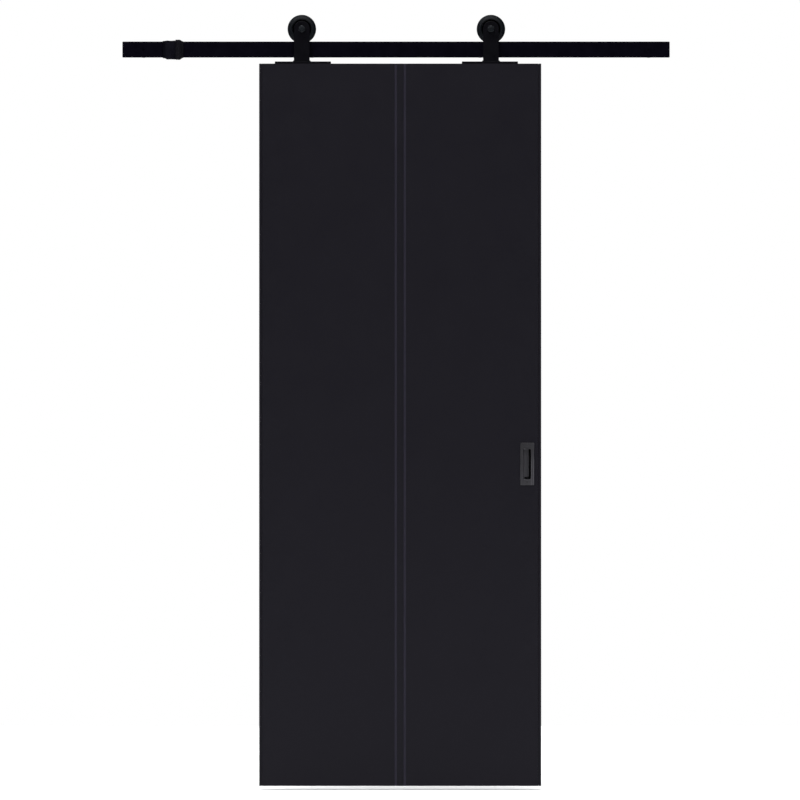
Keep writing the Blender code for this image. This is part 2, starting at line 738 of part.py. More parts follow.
def make_pulls(finishes, carriage):
    """A flush pull with its two screws on each face of the leaf."""
    pull = pull_mesh()
    screw = countersunk_screw(*PULL_SCREW, PULL_SCREW_LENGTH, PULL_SCREW_SOCKET)
    x = DOOR_CENTRE_X + PULL_FROM_DOOR_CENTRE
    head = DOOR_FRONT - GAP - PULL_FLANGE
    for face, sign, turn, screw_turn in (
        ("front", 1, (0, 0, 0), TOWARDS_FRONT),
        ("back", -1, FACING_BACK, ALONG_Y),
    ):
        centre = (x, sign * DOOR_FRONT, PULL_HEIGHT_ON_DOOR)
        place(f"flush_pull_{face}", pull, finishes["pull_grey"], carriage, centre, turn)
        for end, dz in (("top", PULL_SCREW_OFFSET), ("bottom", -PULL_SCREW_OFFSET)):
            top = (x, sign * head, PULL_HEIGHT_ON_DOOR + dz)
            place(f"pull_screw_{face}_{end}", screw, finishes["pull_grey"], carriage, top, screw_turn)


# ---------------------------------------------------------------- hangers


def strap_mesh():
    """Flat strap with a round top about the axle; its own origin is on the axle's line."""
    foot = PLATE_TOP + GAP - AXLE_Z
    radius = STRAP_WIDTH / 2
    angles = [math.pi * i / ROUND_TOP_SEGMENTS for i in range(ROUND_TOP_SEGMENTS + 1)]
    outline = [(radius * math.cos(a), radius * math.sin(a)) for a in angles]
    outline += [(-radius, foot), (radius, foot)]
    blank = prism(outline, STRAP_FRONT, STRAP_BACK, "Y")
    hole = cylinder(AXLE_RADIUS + GAP, STRAP_FRONT - OVERSHOOT, STRAP_BACK + OVERSHOOT, RING_SEGMENTS)
    return combined(blank, [moved(hole, rotation=ALONG_Y)], bevel=STRAP_BEVEL)


def base_plate_mesh():
    """Plate on top of the leaf, with four countersunk holes; Z = 0 is its upper face."""
    outline = rounded_rectangle(PLATE_LENGTH, PLATE_DEPTH, PLATE_CORNER)
    blank = prism(outline, -PLATE_THICKNESS, 0, "Z")
    holes = [
        moved(countersunk_hole(*PLATE_SCREW, PLATE_THICKNESS + OVERSHOOT), x=offset)
        for offset in PLATE_SCREW_OFFSETS
    ]
    return combined(blank, holes, bevel=STRAP_BEVEL)


def axle_bolt_mesh():
    """Hexagon head bolt along Z: the head's underside is at Z = 0 and its top faces +Z."""
    corner = AXLE_HEAD_FLATS / math.sqrt(3)
    flat_top = AXLE_HEAD_FLATS / 2 * HEX_FACE_SHARE
    rounding = [
        (0, 0),
        (corner, 0),
        (corner, AXLE_HEAD_HEIGHT - (corner - flat_top) * HEX_CORNER_SLOPE),
        (flat_top, AXLE_HEAD_HEIGHT),
        (0, AXLE_HEAD_HEIGHT),
    ]
    head = combined(
        hexagon(AXLE_HEAD_FLATS, 0, AXLE_HEAD_HEIGHT),
        [turned(rounding, RING_SEGMENTS)],
        "INTERSECT",
    )
    length = AXLE_END_Y - HEAD_BACK
    chamfer = AXLE_CHAMFER
    shank = [
        (0, -length),
        (AXLE_RADIUS - chamfer, -length),
        (AXLE_RADIUS, -length + chamfer),
        (AXLE_RADIUS, AXLE_HEAD_HEIGHT / 2),
        (0, AXLE_HEAD_HEIGHT / 2),
    ]
    return combined(head, [turned(shank, RING_SEGMENTS)], "UNION")


def lock_nut_mesh():
    """Hexagon lock nut along Z with a round collar at its far end and a clear bore."""
    corner = AXLE_HEAD_FLATS / math.sqrt(3)
    flat = AXLE_HEAD_FLATS / 2 * HEX_FACE_SHARE
    drop = (corner - flat) * HEX_CORNER_SLOPE
    rounding = [
        (0, 0),
        (flat, 0),
        (corner, drop),
        (corner, NUT_HEX_HEIGHT - drop),
        (flat, NUT_HEX_HEIGHT),
        (0, NUT_HEX_HEIGHT),
    ]
    hex_part = combined(
        hexagon(AXLE_HEAD_FLATS, 0, NUT_HEX_HEIGHT),
        [turned(rounding, RING_SEGMENTS)],
        "INTERSECT",
    )
    collar = cylinder(NUT_COLLAR_RADIUS, NUT_HEX_HEIGHT / 2, NUT_HEIGHT, RING_SEGMENTS)
    bore = cylinder(AXLE_RADIUS + GAP, -OVERSHOOT, NUT_HEIGHT + OVERSHOOT, RING_SEGMENTS)
    return combined(combined(hex_part, [collar], "UNION"), [bore])


def axle_ring(outer, low, high):
    """Ring that slides over the axle bolt."""
    return ring(AXLE_RADIUS + GAP, outer, low, high, RING_SEGMENTS)


def hanger_meshes():
    """Meshes that the two hangers share, with the name and finish of each."""
    half_bearing = BEARING_WIDTH / 2
    rear = half_bearing + GAP
    nut = rear + REAR_SPACER_LENGTH + GAP
    washer = axle_ring(WASHER_RADIUS, 0, WASHER_THICKNESS)
    return (
        ("hanger_strap", "hanger_black", strap_mesh(), (0, 0, 0), 0),
        ("axle_bolt", "bolt_black", axle_bolt_mesh(), TOWARDS_FRONT, HEAD_BACK),
        ("axle_washer", "bolt_black", washer, ALONG_Y, WASHER_FRONT),
        (
            "front_spacer",
            "bolt_black",
            axle_ring(SPACER_RADIUS, STRAP_BACK + GAP, -half_bearing - GAP),
            ALONG_Y,
            0,
        ),
        (
            "bearing_inner_ring",
            "bearing_steel",
            axle_ring(BEARING_INNER_RACE_RADIUS, -half_bearing, half_bearing),
            ALONG_Y,
            0,
        ),
        ("rear_spacer", "bolt_black", axle_ring(SPACER_RADIUS, 0, REAR_SPACER_LENGTH), ALONG_Y, rear),
        ("lock_nut", "bolt_black", lock_nut_mesh(), ALONG_Y, nut),
    )


def make_hangers(finishes, carriage):
    """Two hangers: strap, base plate with screws, and everything fixed on the axle."""
    shared = hanger_meshes()
    plate = base_plate_mesh()
    screw = countersunk_screw(*PLATE_SCREW, PLATE_SCREW_LENGTH, PLATE_SCREW_SOCKET)
    for side, x in HANGERS.items():
        for name, finish, mesh, turn, y in shared:
            place(f"{name}_{side}", mesh, finishes[finish], carriage, (x, y, AXLE_Z), turn)
        plate_x = PLATES[side]
        plate_top = (plate_x, 0, PLATE_TOP)
        place(f"base_plate_{side}", plate, finishes["hanger_black"], carriage, plate_top)
        for number, offset in enumerate(PLATE_SCREW_OFFSETS, 1):
            top = (plate_x + offset, 0, PLATE_TOP)
            place(f"plate_screw_{side}_{number}", screw, finishes["bolt_black"], carriage, top)


# ---------------------------------------------------------------- wheels


def wheel_profile():
    """Half section of the wheel: hub with its bearing seat, web, and a rim whose sloping side
    faces form the flanges beside the tread."""
    seat = BEARING_OUTER_RADIUS + GAP
    face = WHEEL_WIDTH / 2
    web = WEB_WIDTH / 2
    ring_groove = RETAINING_RING_OUTER_RADIUS + GAP
    ring_front = -BEARING_WIDTH / 2 - RING_GROOVE_PLAY - RETAINING_RING_WIDTH
    ring_back = -BEARING_WIDTH / 2
    outer = [
        (HUB_RADIUS, -face + WHEEL_CHAMFER),
        (HUB_RADIUS, -web),
        (RIM_INNER_RADIUS, -web),
        (RIM_INNER_RADIUS, -face),
        (RIM_CREST_RADIUS, -face),
        (FLANGE_RADIUS, -face + RIM_DROP),
        (FLANGE_RADIUS, -TREAD_MOUTH_WIDTH / 2),
        (TREAD_RADIUS, -TREAD_WIDTH / 2),
    ]
    bore = [
        (HUB_SHOULDER_RADIUS, face - WHEEL_CHAMFER),
        (HUB_SHOULDER_RADIUS, BEARING_WIDTH / 2 + GAP),
        (seat, BEARING_WIDTH / 2 + GAP),
        (seat, ring_back),
        (ring_groove, ring_back),
        (ring_groove, ring_front),
        (seat, ring_front),
        (seat, -face + WHEEL_CHAMFER),
    ]
    return bore + outer + [(radius, -height) for radius, height in reversed(outer)]


def make_wheel(side, x, finishes, carriage, shared):
    """Wheel with the outer half of its bearing, all on an empty on the axle's line."""
    axle = empty(f"axle_{side}", (x, 0, AXLE_Z), carriage)
    for name, finish, mesh in shared:
        place(f"{name}_{side}", mesh, finishes[finish], axle, rotation=ALONG_Y)


def make_wheels(finishes, carriage):
    """Both wheels, from meshes that they share."""
    half_bearing = BEARING_WIDTH / 2
    race = (BEARING_OUTER_RACE_RADIUS, BEARING_OUTER_RADIUS)
    ring_front = -half_bearing - GAP - RETAINING_RING_WIDTH
    seal_inner = BEARING_INNER_RACE_RADIUS + GAP
    seal_outer = BEARING_OUTER_RACE_RADIUS - GAP
    seal_back = half_bearing - GAP
    shared = (
        ("wheel", "wheel_black", turned(wheel_profile(), WHEEL_SEGMENTS)),
        (
            "bearing_outer_ring",
            "bearing_steel",
            ring(*race, -half_bearing, half_bearing, RING_SEGMENTS),
        ),
        (
            "bearing_seal",
            "seal_rubber",
            ring(seal_inner, seal_outer, seal_back - SEAL_WIDTH, seal_back, RING_SEGMENTS),
        ),
        (
            "retaining_ring",
            "bearing_steel",
            ring(
                RETAINING_RING_INNER_RADIUS,
                RETAINING_RING_OUTER_RADIUS,
                ring_front,
                ring_front + RETAINING_RING_WIDTH,
                RING_SEGMENTS,
            ),
        ),
    )
    for side, x in HANGERS.items():
        make_wheel(side, x, finishes, carriage, shared)


# ---------------------------------------------------------------- whole set


def main():
    """Clear the scene and build the whole set."""
    for leftover in list(bpy.data.objects):
        bpy.data.objects.remove(leftover)
    finishes = make_materials()
    track = make_track(finishes)
    make_stop(finishes, track)
    carriage = empty("sliding_carriage", (0, 0, 0))
    make_leaf(finishes, carriage)
    make_pulls(finishes, carriage)
    make_hangers(finishes, carriage)
    make_wheels(finishes, carriage)


main()
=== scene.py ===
"""Looks of the sliding door set: finer pieces, finishes, studio and camera around the frame.

Everything is in metres in the frame's own space. +Z is up, the camera looks along +Y and the
wall is on the +Y side. Places and sizes come from the frame's own boxes.
"""

import json
import math

import bmesh
import bpy
from mathutils import Matrix, Vector


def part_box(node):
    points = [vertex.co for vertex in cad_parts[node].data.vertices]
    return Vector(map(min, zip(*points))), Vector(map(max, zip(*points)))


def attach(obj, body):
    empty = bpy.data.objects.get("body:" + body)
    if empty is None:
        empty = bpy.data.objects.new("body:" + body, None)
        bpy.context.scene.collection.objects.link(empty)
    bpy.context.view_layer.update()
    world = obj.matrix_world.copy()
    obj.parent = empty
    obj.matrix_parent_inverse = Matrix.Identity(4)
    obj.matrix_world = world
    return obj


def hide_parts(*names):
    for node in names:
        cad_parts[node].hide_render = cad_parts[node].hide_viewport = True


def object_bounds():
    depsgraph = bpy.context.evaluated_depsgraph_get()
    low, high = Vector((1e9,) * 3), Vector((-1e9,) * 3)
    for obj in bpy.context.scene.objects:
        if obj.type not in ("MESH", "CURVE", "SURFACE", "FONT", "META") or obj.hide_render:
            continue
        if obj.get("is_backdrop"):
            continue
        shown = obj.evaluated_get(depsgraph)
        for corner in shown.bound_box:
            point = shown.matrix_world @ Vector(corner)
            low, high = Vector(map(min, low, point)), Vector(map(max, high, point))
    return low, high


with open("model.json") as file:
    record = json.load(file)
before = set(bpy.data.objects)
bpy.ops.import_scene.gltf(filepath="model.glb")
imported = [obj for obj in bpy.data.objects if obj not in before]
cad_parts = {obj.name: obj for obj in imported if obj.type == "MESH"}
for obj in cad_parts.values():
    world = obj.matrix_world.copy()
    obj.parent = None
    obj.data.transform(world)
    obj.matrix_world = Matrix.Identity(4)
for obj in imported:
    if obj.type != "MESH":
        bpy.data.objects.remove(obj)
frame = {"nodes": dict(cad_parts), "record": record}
cad_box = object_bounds()

# Facets around turned pieces, along an arc at a corner, and along a rounded edge.
SEGMENTS = 96
SMALL_SEGMENTS = 48
ARC_STEPS = 5
EDGE_STEPS = 3
# Clearance that the frame leaves between pieces that touch.
GAP = 0.0003
TINY = 1e-7
SHARP_ANGLE = math.radians(35)

# Bodies of the frame, with the nodes on each, and the finish that the record gives each node.
BODY_OF = {
    node: body
    for body, nodes in frame["record"]["behaviour"]["bodies"].items()
    for node in nodes
}
SLOT_OF = {part["node"]: part["material_slot"] for part in frame["record"]["subparts"]}
SIDES = ("left", "right")

# Two V-grooves in each face of the leaf, coloured lighter than the face as a painted highlight.
GROOVE_SPACING = 0.0265
GROOVE_WIDTH = 0.007
GROOVE_FLOOR = 0.002
GROOVE_DEPTH = 0.0025
GROOVE_LIP = 0.0006
GROOVE_HIGHLIGHT_DEPTH = 0.0006
GROOVE_PAINTED_HIGHLIGHT = 3.3
# A darker line in the colour over the joint of each lipping, darkest at the left edge.
JOINT_HALF = 0.0012
JOINT_TINT = {"left": 0.5, "right": 0.85}


def middle(node):
    """Middle of a node's box."""
    low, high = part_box(node)
    return (low + high) / 2


def size(node):
    """Size of a node's box."""
    low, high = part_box(node)
    return high - low


# ---------------------------------------------------------------- outlines


def arc(start, end, centre, steps):
    """Points of the short arc from start to end about a centre."""
    first, last = start - centre, end - centre
    begin = math.atan2(first.y, first.x)
    turn = math.atan2(last.y, last.x) - begin
    turn = (turn + math.pi) % (2 * math.pi) - math.pi
    angles = (begin + turn * step / steps for step in range(steps + 1))
    return [centre + first.length * Vector((math.cos(a), math.sin(a))) for a in angles]


def rounded(corners, steps=ARC_STEPS):
    """Closed outline through (u, v, radius) corners, with an arc at each corner."""
    points = []
    for i, (u, v, radius) in enumerate(corners):
        here = Vector((u, v))
        back = Vector(corners[i - 1][:2]) - here
        ahead = Vector(corners[(i + 1) % len(corners)][:2]) - here
        room = min(back.length, ahead.length) * 0.49
        if radius == 0 or room < TINY:
            points.append(here)
            continue
        back.normalize()
        ahead.normalize()
        half = back.angle(ahead) / 2
        setback = min(radius / math.tan(half), room)
        reach = setback / math.cos(half)
        centre = here + (back + ahead).normalized() * reach
        points += arc(here + back * setback, here + ahead * setback, centre, steps)
    return points


def rectangle(width, height, radius, centre=(0, 0), steps=ARC_STEPS):
    """Rectangle with round corners, around its centre."""
    signs = ((1, 1), (-1, 1), (-1, -1), (1, -1))
    corners = [(centre[0] + a * width / 2, centre[1] + b * height / 2, radius) for a, b in signs]
    return rounded(corners, steps)


def hexagon(across_flats):
    """Hexagon with flats at its left and right."""
    reach = across_flats / math.sqrt(3)
    angles = [math.radians(60 * i + 30) for i in range(6)]
    return [Vector((reach * math.cos(a), reach * math.sin(a))) for a in angles]


# ---------------------------------------------------------------- meshes


def mesh_of(bm):
    """Mesh from a bmesh, with its faces pointing out."""
    bm.normal_update()
    bmesh.ops.recalc_face_normals(bm, faces=bm.faces)
    mesh = bpy.data.meshes.new("shape")
    bm.to_mesh(mesh)
    bm.free()
    return mesh


def skinned(bm, rows, closed):
    """Faces between rows of vertices; closed joins the last row to the first."""
    pairs = list(zip(rows, rows[1:]))
    if closed:
        pairs.append((rows[-1], rows[0]))
    for first, second in pairs:
        for i in range(len(first)):
            j = (i + 1) % len(first)
            corners = dict.fromkeys((first[i], first[j], second[j], second[i]))
            if len(corners) > 2:
                bm.faces.new(corners)


def lathe(profile, segments=SEGMENTS):
    """Piece turned about Y from (radius, height) points. It is solid where the points start and
    end on the axis, and has a bore otherwise."""
    bm = bmesh.new()
    angles = [2 * math.pi * i / segments for i in range(segments)]
    rows = []
    for radius, height in profile:
        if radius < TINY:
            rows.append([bm.verts.new((0, height, 0))] * segments)
            continue
        rows.append(
            [bm.verts.new((radius * math.cos(a), height, radius * math.sin(a))) for a in angles]
        )
    skinned(bm, rows, closed=profile[0][0] >= TINY)
    return mesh_of(bm)


def disc(radius, low, high):
    """Plain disc about Y between two heights."""
    return lathe([(0, low), (radius, low), (radius, high), (0, high)], SMALL_SEGMENTS)


def ring_mesh(inner, outer, low, high, edge):
    """Plain ring about Y between two heights, with rounded edges."""
    corners = [(inner, low, edge), (outer, low, edge), (outer, high, edge), (inner, high, edge)]
    return lathe(rounded(corners, EDGE_STEPS))


def loft(loops):
    """Closed piece through loops of 3-D points that have the same number of points each."""
    bm = bmesh.new()
    rows = [[bm.verts.new(point) for point in loop] for loop in loops]
    skinned(bm, rows, closed=False)
    bm.faces.new(rows[0])
    bm.faces.new(rows[-1])
    return mesh_of(bm)


def extruded(outline, low, high, axis):
    """Outline swept along an axis; its points are given in the other two axes, in order."""

    def lifted(level):
        loop = []
        for point in outline:
            place = list(point)
            place.insert("XYZ".index(axis), level)
            loop.append(place)
        return loop

    return loft([lifted(low), lifted(high)])


def block(low, high):
    """Box between two corners."""
    outline = [(low[0], low[2]), (high[0], low[2]), (high[0], high[2]), (low[0], high[2])]
    return extruded(outline, low[1], high[1], "Y")


def shifted(mesh, x=0.0, y=0.0, z=0.0, turn=None):
    """The mesh turned by a matrix and then moved."""
    if turn is not None:
        mesh.transform(turn)
    mesh.transform(Matrix.Translation((x, y, z)))
    return mesh


def baked(mesh, edge=0.0, cut=(), add=(), keep=()):
    """The mesh after rounding its sharp edges, and then a Boolean with each other mesh: joined
    with it, cut by it, or kept only inside it."""
    collection = bpy.context.scene.collection
    work = bpy.data.objects.new("work", mesh)
    collection.objects.link(work)
    if edge:
        rounding = work.modifiers.new("edge", "BEVEL")
        rounding.width = edge
        rounding.segments = EDGE_STEPS
        rounding.limit_method = "ANGLE"
        rounding.angle_limit = SHARP_ANGLE
    helpers = []
    for operation, tools in (("UNION", add), ("DIFFERENCE", cut), ("INTERSECT", keep)):
        for tool in tools:
            helper = bpy.data.objects.new("tool", tool)
            collection.objects.link(helper)
            helpers.append(helper)
            boolean = work.modifiers.new("boolean", "BOOLEAN")
            boolean.operation = operation
            boolean.solver = "EXACT"
            boolean.object = helper
    graph = bpy.context.evaluated_depsgraph_get()
    result = bpy.data.meshes.new_from_object(work.evaluated_get(graph))
    for leftover in (work, *helpers):
        bpy.data.objects.remove(leftover)
    return result


# A piece turned about Y faces the camera with its low end; these turn it to face other ways.
TO_BACK = Matrix.Rotation(math.pi, 4, "Z")
TO_TOP = Matrix.Rotation(-math.pi / 2, 4, "X")


# ---------------------------------------------------------------- placing


def piece(name, mesh, finish, body, slot, stands_for=(), at=(0, 0, 0)):
    """Visible piece that rides on a body and stands for some of the frame's nodes."""
    if not mesh.materials:
        mesh.name = name
        mesh.materials.append(finish)
        mesh.shade_smooth()
        mesh.set_sharp_from_angle(angle=SHARP_ANGLE)
    made = bpy.data.objects.new(name, mesh)
    made.location = at
    bpy.context.scene.collection.objects.link(made)
    normals = made.modifiers.new("normals", "WEIGHTED_NORMAL")
    normals.keep_sharp = True
    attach(made, body)
    if stands_for:
        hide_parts(*stands_for)
    return made


def stand_in(node, mesh, finish, at=(0, 0, 0)):
    """Finer piece in the place of one node of the frame."""
    return piece(f"{node}_fine", mesh, finish, BODY_OF[node], SLOT_OF[node], [node], at)


# ---------------------------------------------------------------- finishes


def add_node(tree, kind, inputs=None, **settings):
    """New shader node with some inputs set or linked."""
    made = tree.nodes.new("ShaderNode" + kind)
    for name, value in settings.items():
        setattr(made, name, value)
    for name, value in (inputs or {}).items():
        if isinstance(value, bpy.types.NodeSocket):
            tree.links.new(value, made.inputs[name])
        else:
            made.inputs[name].default_value = value
    return made


def add_ramp(tree, value, *stops):
    """Colour that follows a value through (position, colour) stops."""
    ramp = add_node(tree, "ValToRGB", {"Fac": value})
    elements = ramp.color_ramp.elements
    while len(elements) < len(stops):
        elements.new(1.0)
    for element, (position, colour) in zip(elements, stops):
        element.position = position
        element.color = (*colour, 1)
    return ramp.outputs["Color"]


class Finish:
    """Principled material whose colour, roughness and relief come from procedural nodes."""

    def __init__(self, name, roughness, metallic=0.0, specular=0.5):
        self.material = bpy.data.materials.new(name)
        self.material.use_nodes = True
        self.tree = self.material.node_tree
        self.shader = self.tree.nodes["Principled BSDF"]
        self.shader.inputs["Roughness"].default_value = roughness
        self.shader.inputs["Metallic"].default_value = metallic
        self.shader.inputs["Specular IOR Level"].default_value = specular
        self.place = self.node("TexCoord").outputs["Object"]
        self.relief = None

    def node(self, kind, inputs=None, **settings):
        """New node with some inputs set or linked."""
        return add_node(self.tree, kind, inputs, **settings)

    def link(self, output, name):
        """Link an output to one of the shader's sockets."""
        self.tree.links.new(output, self.shader.inputs[name])

    def colour_by(self, value, *stops):
        """Base colour that follows a value through (position, colour) stops."""
        self.link(add_ramp(self.tree, value, *stops), "Base Color")

    def roughen_by(self, value, low, high):
        """Roughness that follows a value."""
        self.link(self.between(value, low, high), "Roughness")

    def colour(self):
        """Output that the base colour comes from so far."""
        return self.shader.inputs["Base Color"].links[0].from_socket

    def stretched(self, stretch):
        """The piece's own coordinates, scaled along each axis."""
        return self.node("Mapping", {"Vector": self.place, "Scale": stretch}).outputs[0]

    def axes(self):
        """The piece's own X, Y and Z."""
        return self.node("SeparateXYZ", {"Vector": self.place}).outputs

    def noise(self, scale, detail=2.0, stretch=(1, 1, 1), vector=None):
        """Noise from 0 to 1; scale is the number of features in a metre."""
        source = vector or self.stretched(stretch)
        values = {"Vector": source, "Scale": scale, "Detail": detail}
        return self.node("TexNoise", values).outputs["Fac"]

    def between(self, value, low, high, start=0.3, end=0.7):
        """Value remapped from start-end to low-high."""
        names = ("Value", "From Min", "From Max", "To Min", "To Max")
        values = dict(zip(names, (value, start, end, low, high)))
        return self.node("MapRange", values).outputs["Result"]

    def mixed(self, factor, first, second):
        """Mix of two colours."""
        made = self.node("Mix", {"Factor": factor}, data_type="RGBA")
        for socket, value in (("A_Color", first), ("B_Color", second)):
            target = next(s for s in made.inputs if s.identifier == socket)
            if isinstance(value, bpy.types.NodeSocket):
                self.tree.links.new(value, target)
            else:
                target.default_value = (*value, 1)
        return next(s for s in made.outputs if s.identifier == "Result_Color")

    def maths(self, operation, first, second=0.0):
        """Result of one sum on two values."""
        return self.node("Math", {0: first, 1: second}, operation=operation).outputs[0]

    def times(self, first, second):
        """Product of two values."""
        return self.maths("MULTIPLY", first, second)

    def span(self, value, middle_value):
        """Distance of a value from a middle value, to either side."""
        return self.maths("ABSOLUTE", self.maths("SUBTRACT", value, middle_value))

    def length(self, vector):
        """Length of a vector."""
        return self.node("VectorMath", {0: vector}, operation="LENGTH").outputs["Value"]

    def radius(self):
        """Distance from the piece's own Y axis."""
        return self.length(self.stretched((1, 0, 1)))

    def rings(self, scale, detail=2.0):
        """Noise in fine rings around the piece's own Y axis."""
        vector = self.node("CombineXYZ", {"X": self.radius(), "Y": self.axes()["Y"]})
        return self.noise(scale, detail, vector=vector.outputs[0])

    def emboss(self, height, depth):
        """Relief of a real depth, on top of the relief added before."""
        values = {"Height": height, "Distance": depth}
        if self.relief is not None:
            values["Normal"] = self.relief
        self.relief = self.node("Bump", values).outputs["Normal"]
        self.link(self.relief, "Normal")


# Base colours in linear light.
RAIL_BLACK = (0.0010, 0.0007, 0.0030)
RUBBED_RAIL = (0.032, 0.032, 0.035)
HANGER_BLACK = (0.0019, 0.0018, 0.0030)
CLAMP_BLACK = (0.0026, 0.0024, 0.0048)
CLAMP_PAINTED_SHADE = (0.0010, 0.0009, 0.0026)
COAT_DARK = (0.0018, 0.0026, 0.0040)
COAT_LIGHT = (0.0030, 0.0042, 0.0060)
WEB_PAINTED_SHADE = (0.0008, 0.0008, 0.0010)
BARE_TREAD = (0.085, 0.085, 0.09)
OXIDE = ((0.0056, 0.0075, 0.0100), (0.0088, 0.0112, 0.0145), (0.0112, 0.0116, 0.012))
BEARING_BRIGHT = (0.50, 0.50, 0.51)
BEARING_GREASY = (0.36, 0.35, 0.33)
SEAL_BLACK = (0.012, 0.012, 0.013)
BUMPER_BLACK = (0.0017, 0.0015, 0.0033)
NYLON_DARK = (0.03, 0.032, 0.04)
NYLON_LIGHT = (0.045, 0.048, 0.06)
DOOR_CHARCOAL = (0.0069, 0.0063, 0.0095)
PULL_GREY = (0.030, 0.029, 0.0335)
PULL_SLOT_PAINTED_SHADE = (0.0014, 0.0013, 0.0018)
CHIP_SHADES = ((0.30, 0.20, 0.11), (0.46, 0.33, 0.20), (0.56, 0.43, 0.28))
# Timber: two broad tones, the growth bands' and the fibres'.
SEALED_EDGE = (
    (0.0115, 0.0108, 0.0138),
    (0.0135, 0.0127, 0.0155),
    (0.0085, 0.0078, 0.0095),
    (0.018, 0.016, 0.017),
)
PINE = ((0.42, 0.27, 0.14), (0.52, 0.36, 0.20), (0.30, 0.17, 0.08), (0.60, 0.45, 0.28))

# Depths below the rail's top edge between which the wheels' rubbing grows to its full.
RAIL_RUB = (0.0009, 0.0001)
# Length of the end stop's low toe, which is darkened with painted shade.
STOP_TOE = 0.006
# Painted light on the pulls: how fast it grows to the right and down, and the places of two
# # painted highlight lines, shown below the height where they fade out.
PULL_PAINTED_LIGHT_SLOPE = (8.0, 4.4)
PULL_HIGHLIGHT_LINES = (0.0126, 0.0184)
PULL_LINE_HALF = (0.0005, 0.0014)
PULL_LINE_FADE = (0.005, 0.025)


def shade(colour, factor):
    """Colour made lighter or darker."""
    return tuple(min(1.0, channel * factor) for channel in colour)


def powder_coat(name, colour, roughness, specular):
    """Fine-textured powder coat: small even pimples, slight clouds of gloss."""
    made = Finish(name, roughness, 0.0, specular)
    clouds = made.noise(35, 3)
    made.colour_by(clouds, (0.3, shade(colour, 0.85)), (0.7, shade(colour, 1.2)))
    made.roughen_by(clouds, roughness - 0.05, roughness + 0.06)
    made.emboss(made.noise(260, 2), 0.00003)
    made.emboss(made.noise(1500, 2), 0.000022)
    return made


def rail_coat():
    """Powder coat, rubbed to a grey sheen along the top edge by the wheels."""
    made = powder_coat("rail_powder_coat", RAIL_BLACK, 0.46, 0.035)
    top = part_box("rail")[1].z
    start, full = RAIL_RUB
    edge = made.between(made.axes()["Z"], 0, 1, top - start, top - full)
    streaks = made.between(made.noise(60, 4, (0.08, 1, 1)), 0.25, 1, 0.35, 0.65)
    rubbed = made.mixed(made.times(edge, streaks), made.colour(), RUBBED_RAIL)
    made.link(rubbed, "Base Color")
    return made.material


def clamp_coat():
    """Powder coat of the stop, with painted shade along its toe and towards the bumper."""
    made = powder_coat("clamp_powder_coat", CLAMP_BLACK, 0.42, 0.055)
    low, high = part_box("stop_body")
    x = made.axes()["X"]
    toe = made.between(x, 0, 1, low.x + STOP_TOE, low.x + 2 * STOP_TOE)
    neck = made.between(x, 1, 0, middle("stop_body").x, high.x)
    # Painted shade: the toe and the end by the bumper are coloured darker.
    shown = made.times(toe, made.between(neck, 0.55, 1, 0, 1))
    made.link(made.mixed(shown, CLAMP_PAINTED_SHADE, made.colour()), "Base Color")
    return made.material


def turned_black():
    """Turned steel with a thin satin black coat: fine tool rings, dull and darkened by painted
    shade in the recessed web, and bare where it runs on the rail."""
    made = Finish("turned_black", 0.36, 0.1, 0.22)
    reach = made.radius()
    tool = made.rings(2600, 2)
    coat = add_ramp(made.tree, made.noise(90, 3), (0.3, COAT_DARK), (0.7, COAT_LIGHT))
    rim = made.between(reach, 0, 1, RIM_INNER - GAP, RIM_INNER + GAP)
    # Painted shade: inside the rim, over the recessed web, the coat is coloured near black.
    coat = made.mixed(rim, WEB_PAINTED_SHADE, coat)
    side = made.span(made.axes()["Y"], 0)
    inside = made.between(side, 1, 0, TREAD_HALF - GAP, TREAD_HALF + GAP)
    outside = made.between(reach, 0, 1, TREAD_RADIUS - 4 * GAP, TREAD_RADIUS - GAP)
    tread = made.between(reach, 1, 0, TREAD_RADIUS + GAP, TREAD_RADIUS + 4 * GAP)
    tread = made.times(tread, made.times(inside, outside))
    made.link(made.mixed(tread, coat, BARE_TREAD), "Base Color")
    slope = made.between(reach, 0.2, 0.09, RIM_BEAD, RIM_BEAD + RIM_BEAD_HALF * 2)
    made.link(made.times(rim, slope), "Specular IOR Level")
    made.roughen_by(tool, 0.3, 0.42)
    made.emboss(tool, 0.000012)
    return made.material


def oxide_steel():
    """Black oxide steel for bolts, nuts and screws: fine grain, faint brown bloom."""
    made = Finish("black_oxide_steel", 0.38, 0.6, 0.5)
    made.colour_by(made.noise(240, 4), *zip((0.3, 0.62, 0.8), OXIDE))
    made.roughen_by(made.noise(900, 3), 0.3, 0.46)
    made.emboss(made.noise(3200, 2), 0.000008)
    return made.material


def bearing_steel():
    """Ground and polished bearing steel with fine grinding rings and a trace of grease."""
    made = Finish("ground_bearing_steel", 0.2, 1.0, 0.5)
    ground = made.rings(5200, 3)
    made.colour_by(made.noise(420, 3), (0.35, BEARING_BRIGHT), (0.75, BEARING_GREASY))
    made.roughen_by(ground, 0.14, 0.3)
    made.emboss(ground, 0.000004)
    return made.material


def rubber(name, colour, grain_scale):
    """Moulded rubber: a matt fine grain with slight blooming."""
    made = Finish(name, 0.66, 0.0, 0.1)
    bloom = made.noise(140, 4)
    made.colour_by(bloom, (0.35, shade(colour, 0.8)), (0.75, shade(colour, 1.5)))
    made.roughen_by(bloom, 0.58, 0.74)
    made.emboss(made.noise(grain_scale, 3), 0.00003)
    return made.material


def nylon():
    """Off-black nylon of the lock nuts' insert."""
    made = Finish("nylon_insert", 0.5, 0.0, 0.4)
    made.colour_by(made.noise(300), (0.3, NYLON_DARK), (0.7, NYLON_LIGHT))
    made.emboss(made.noise(2400, 2), 0.00001)
    return made.material


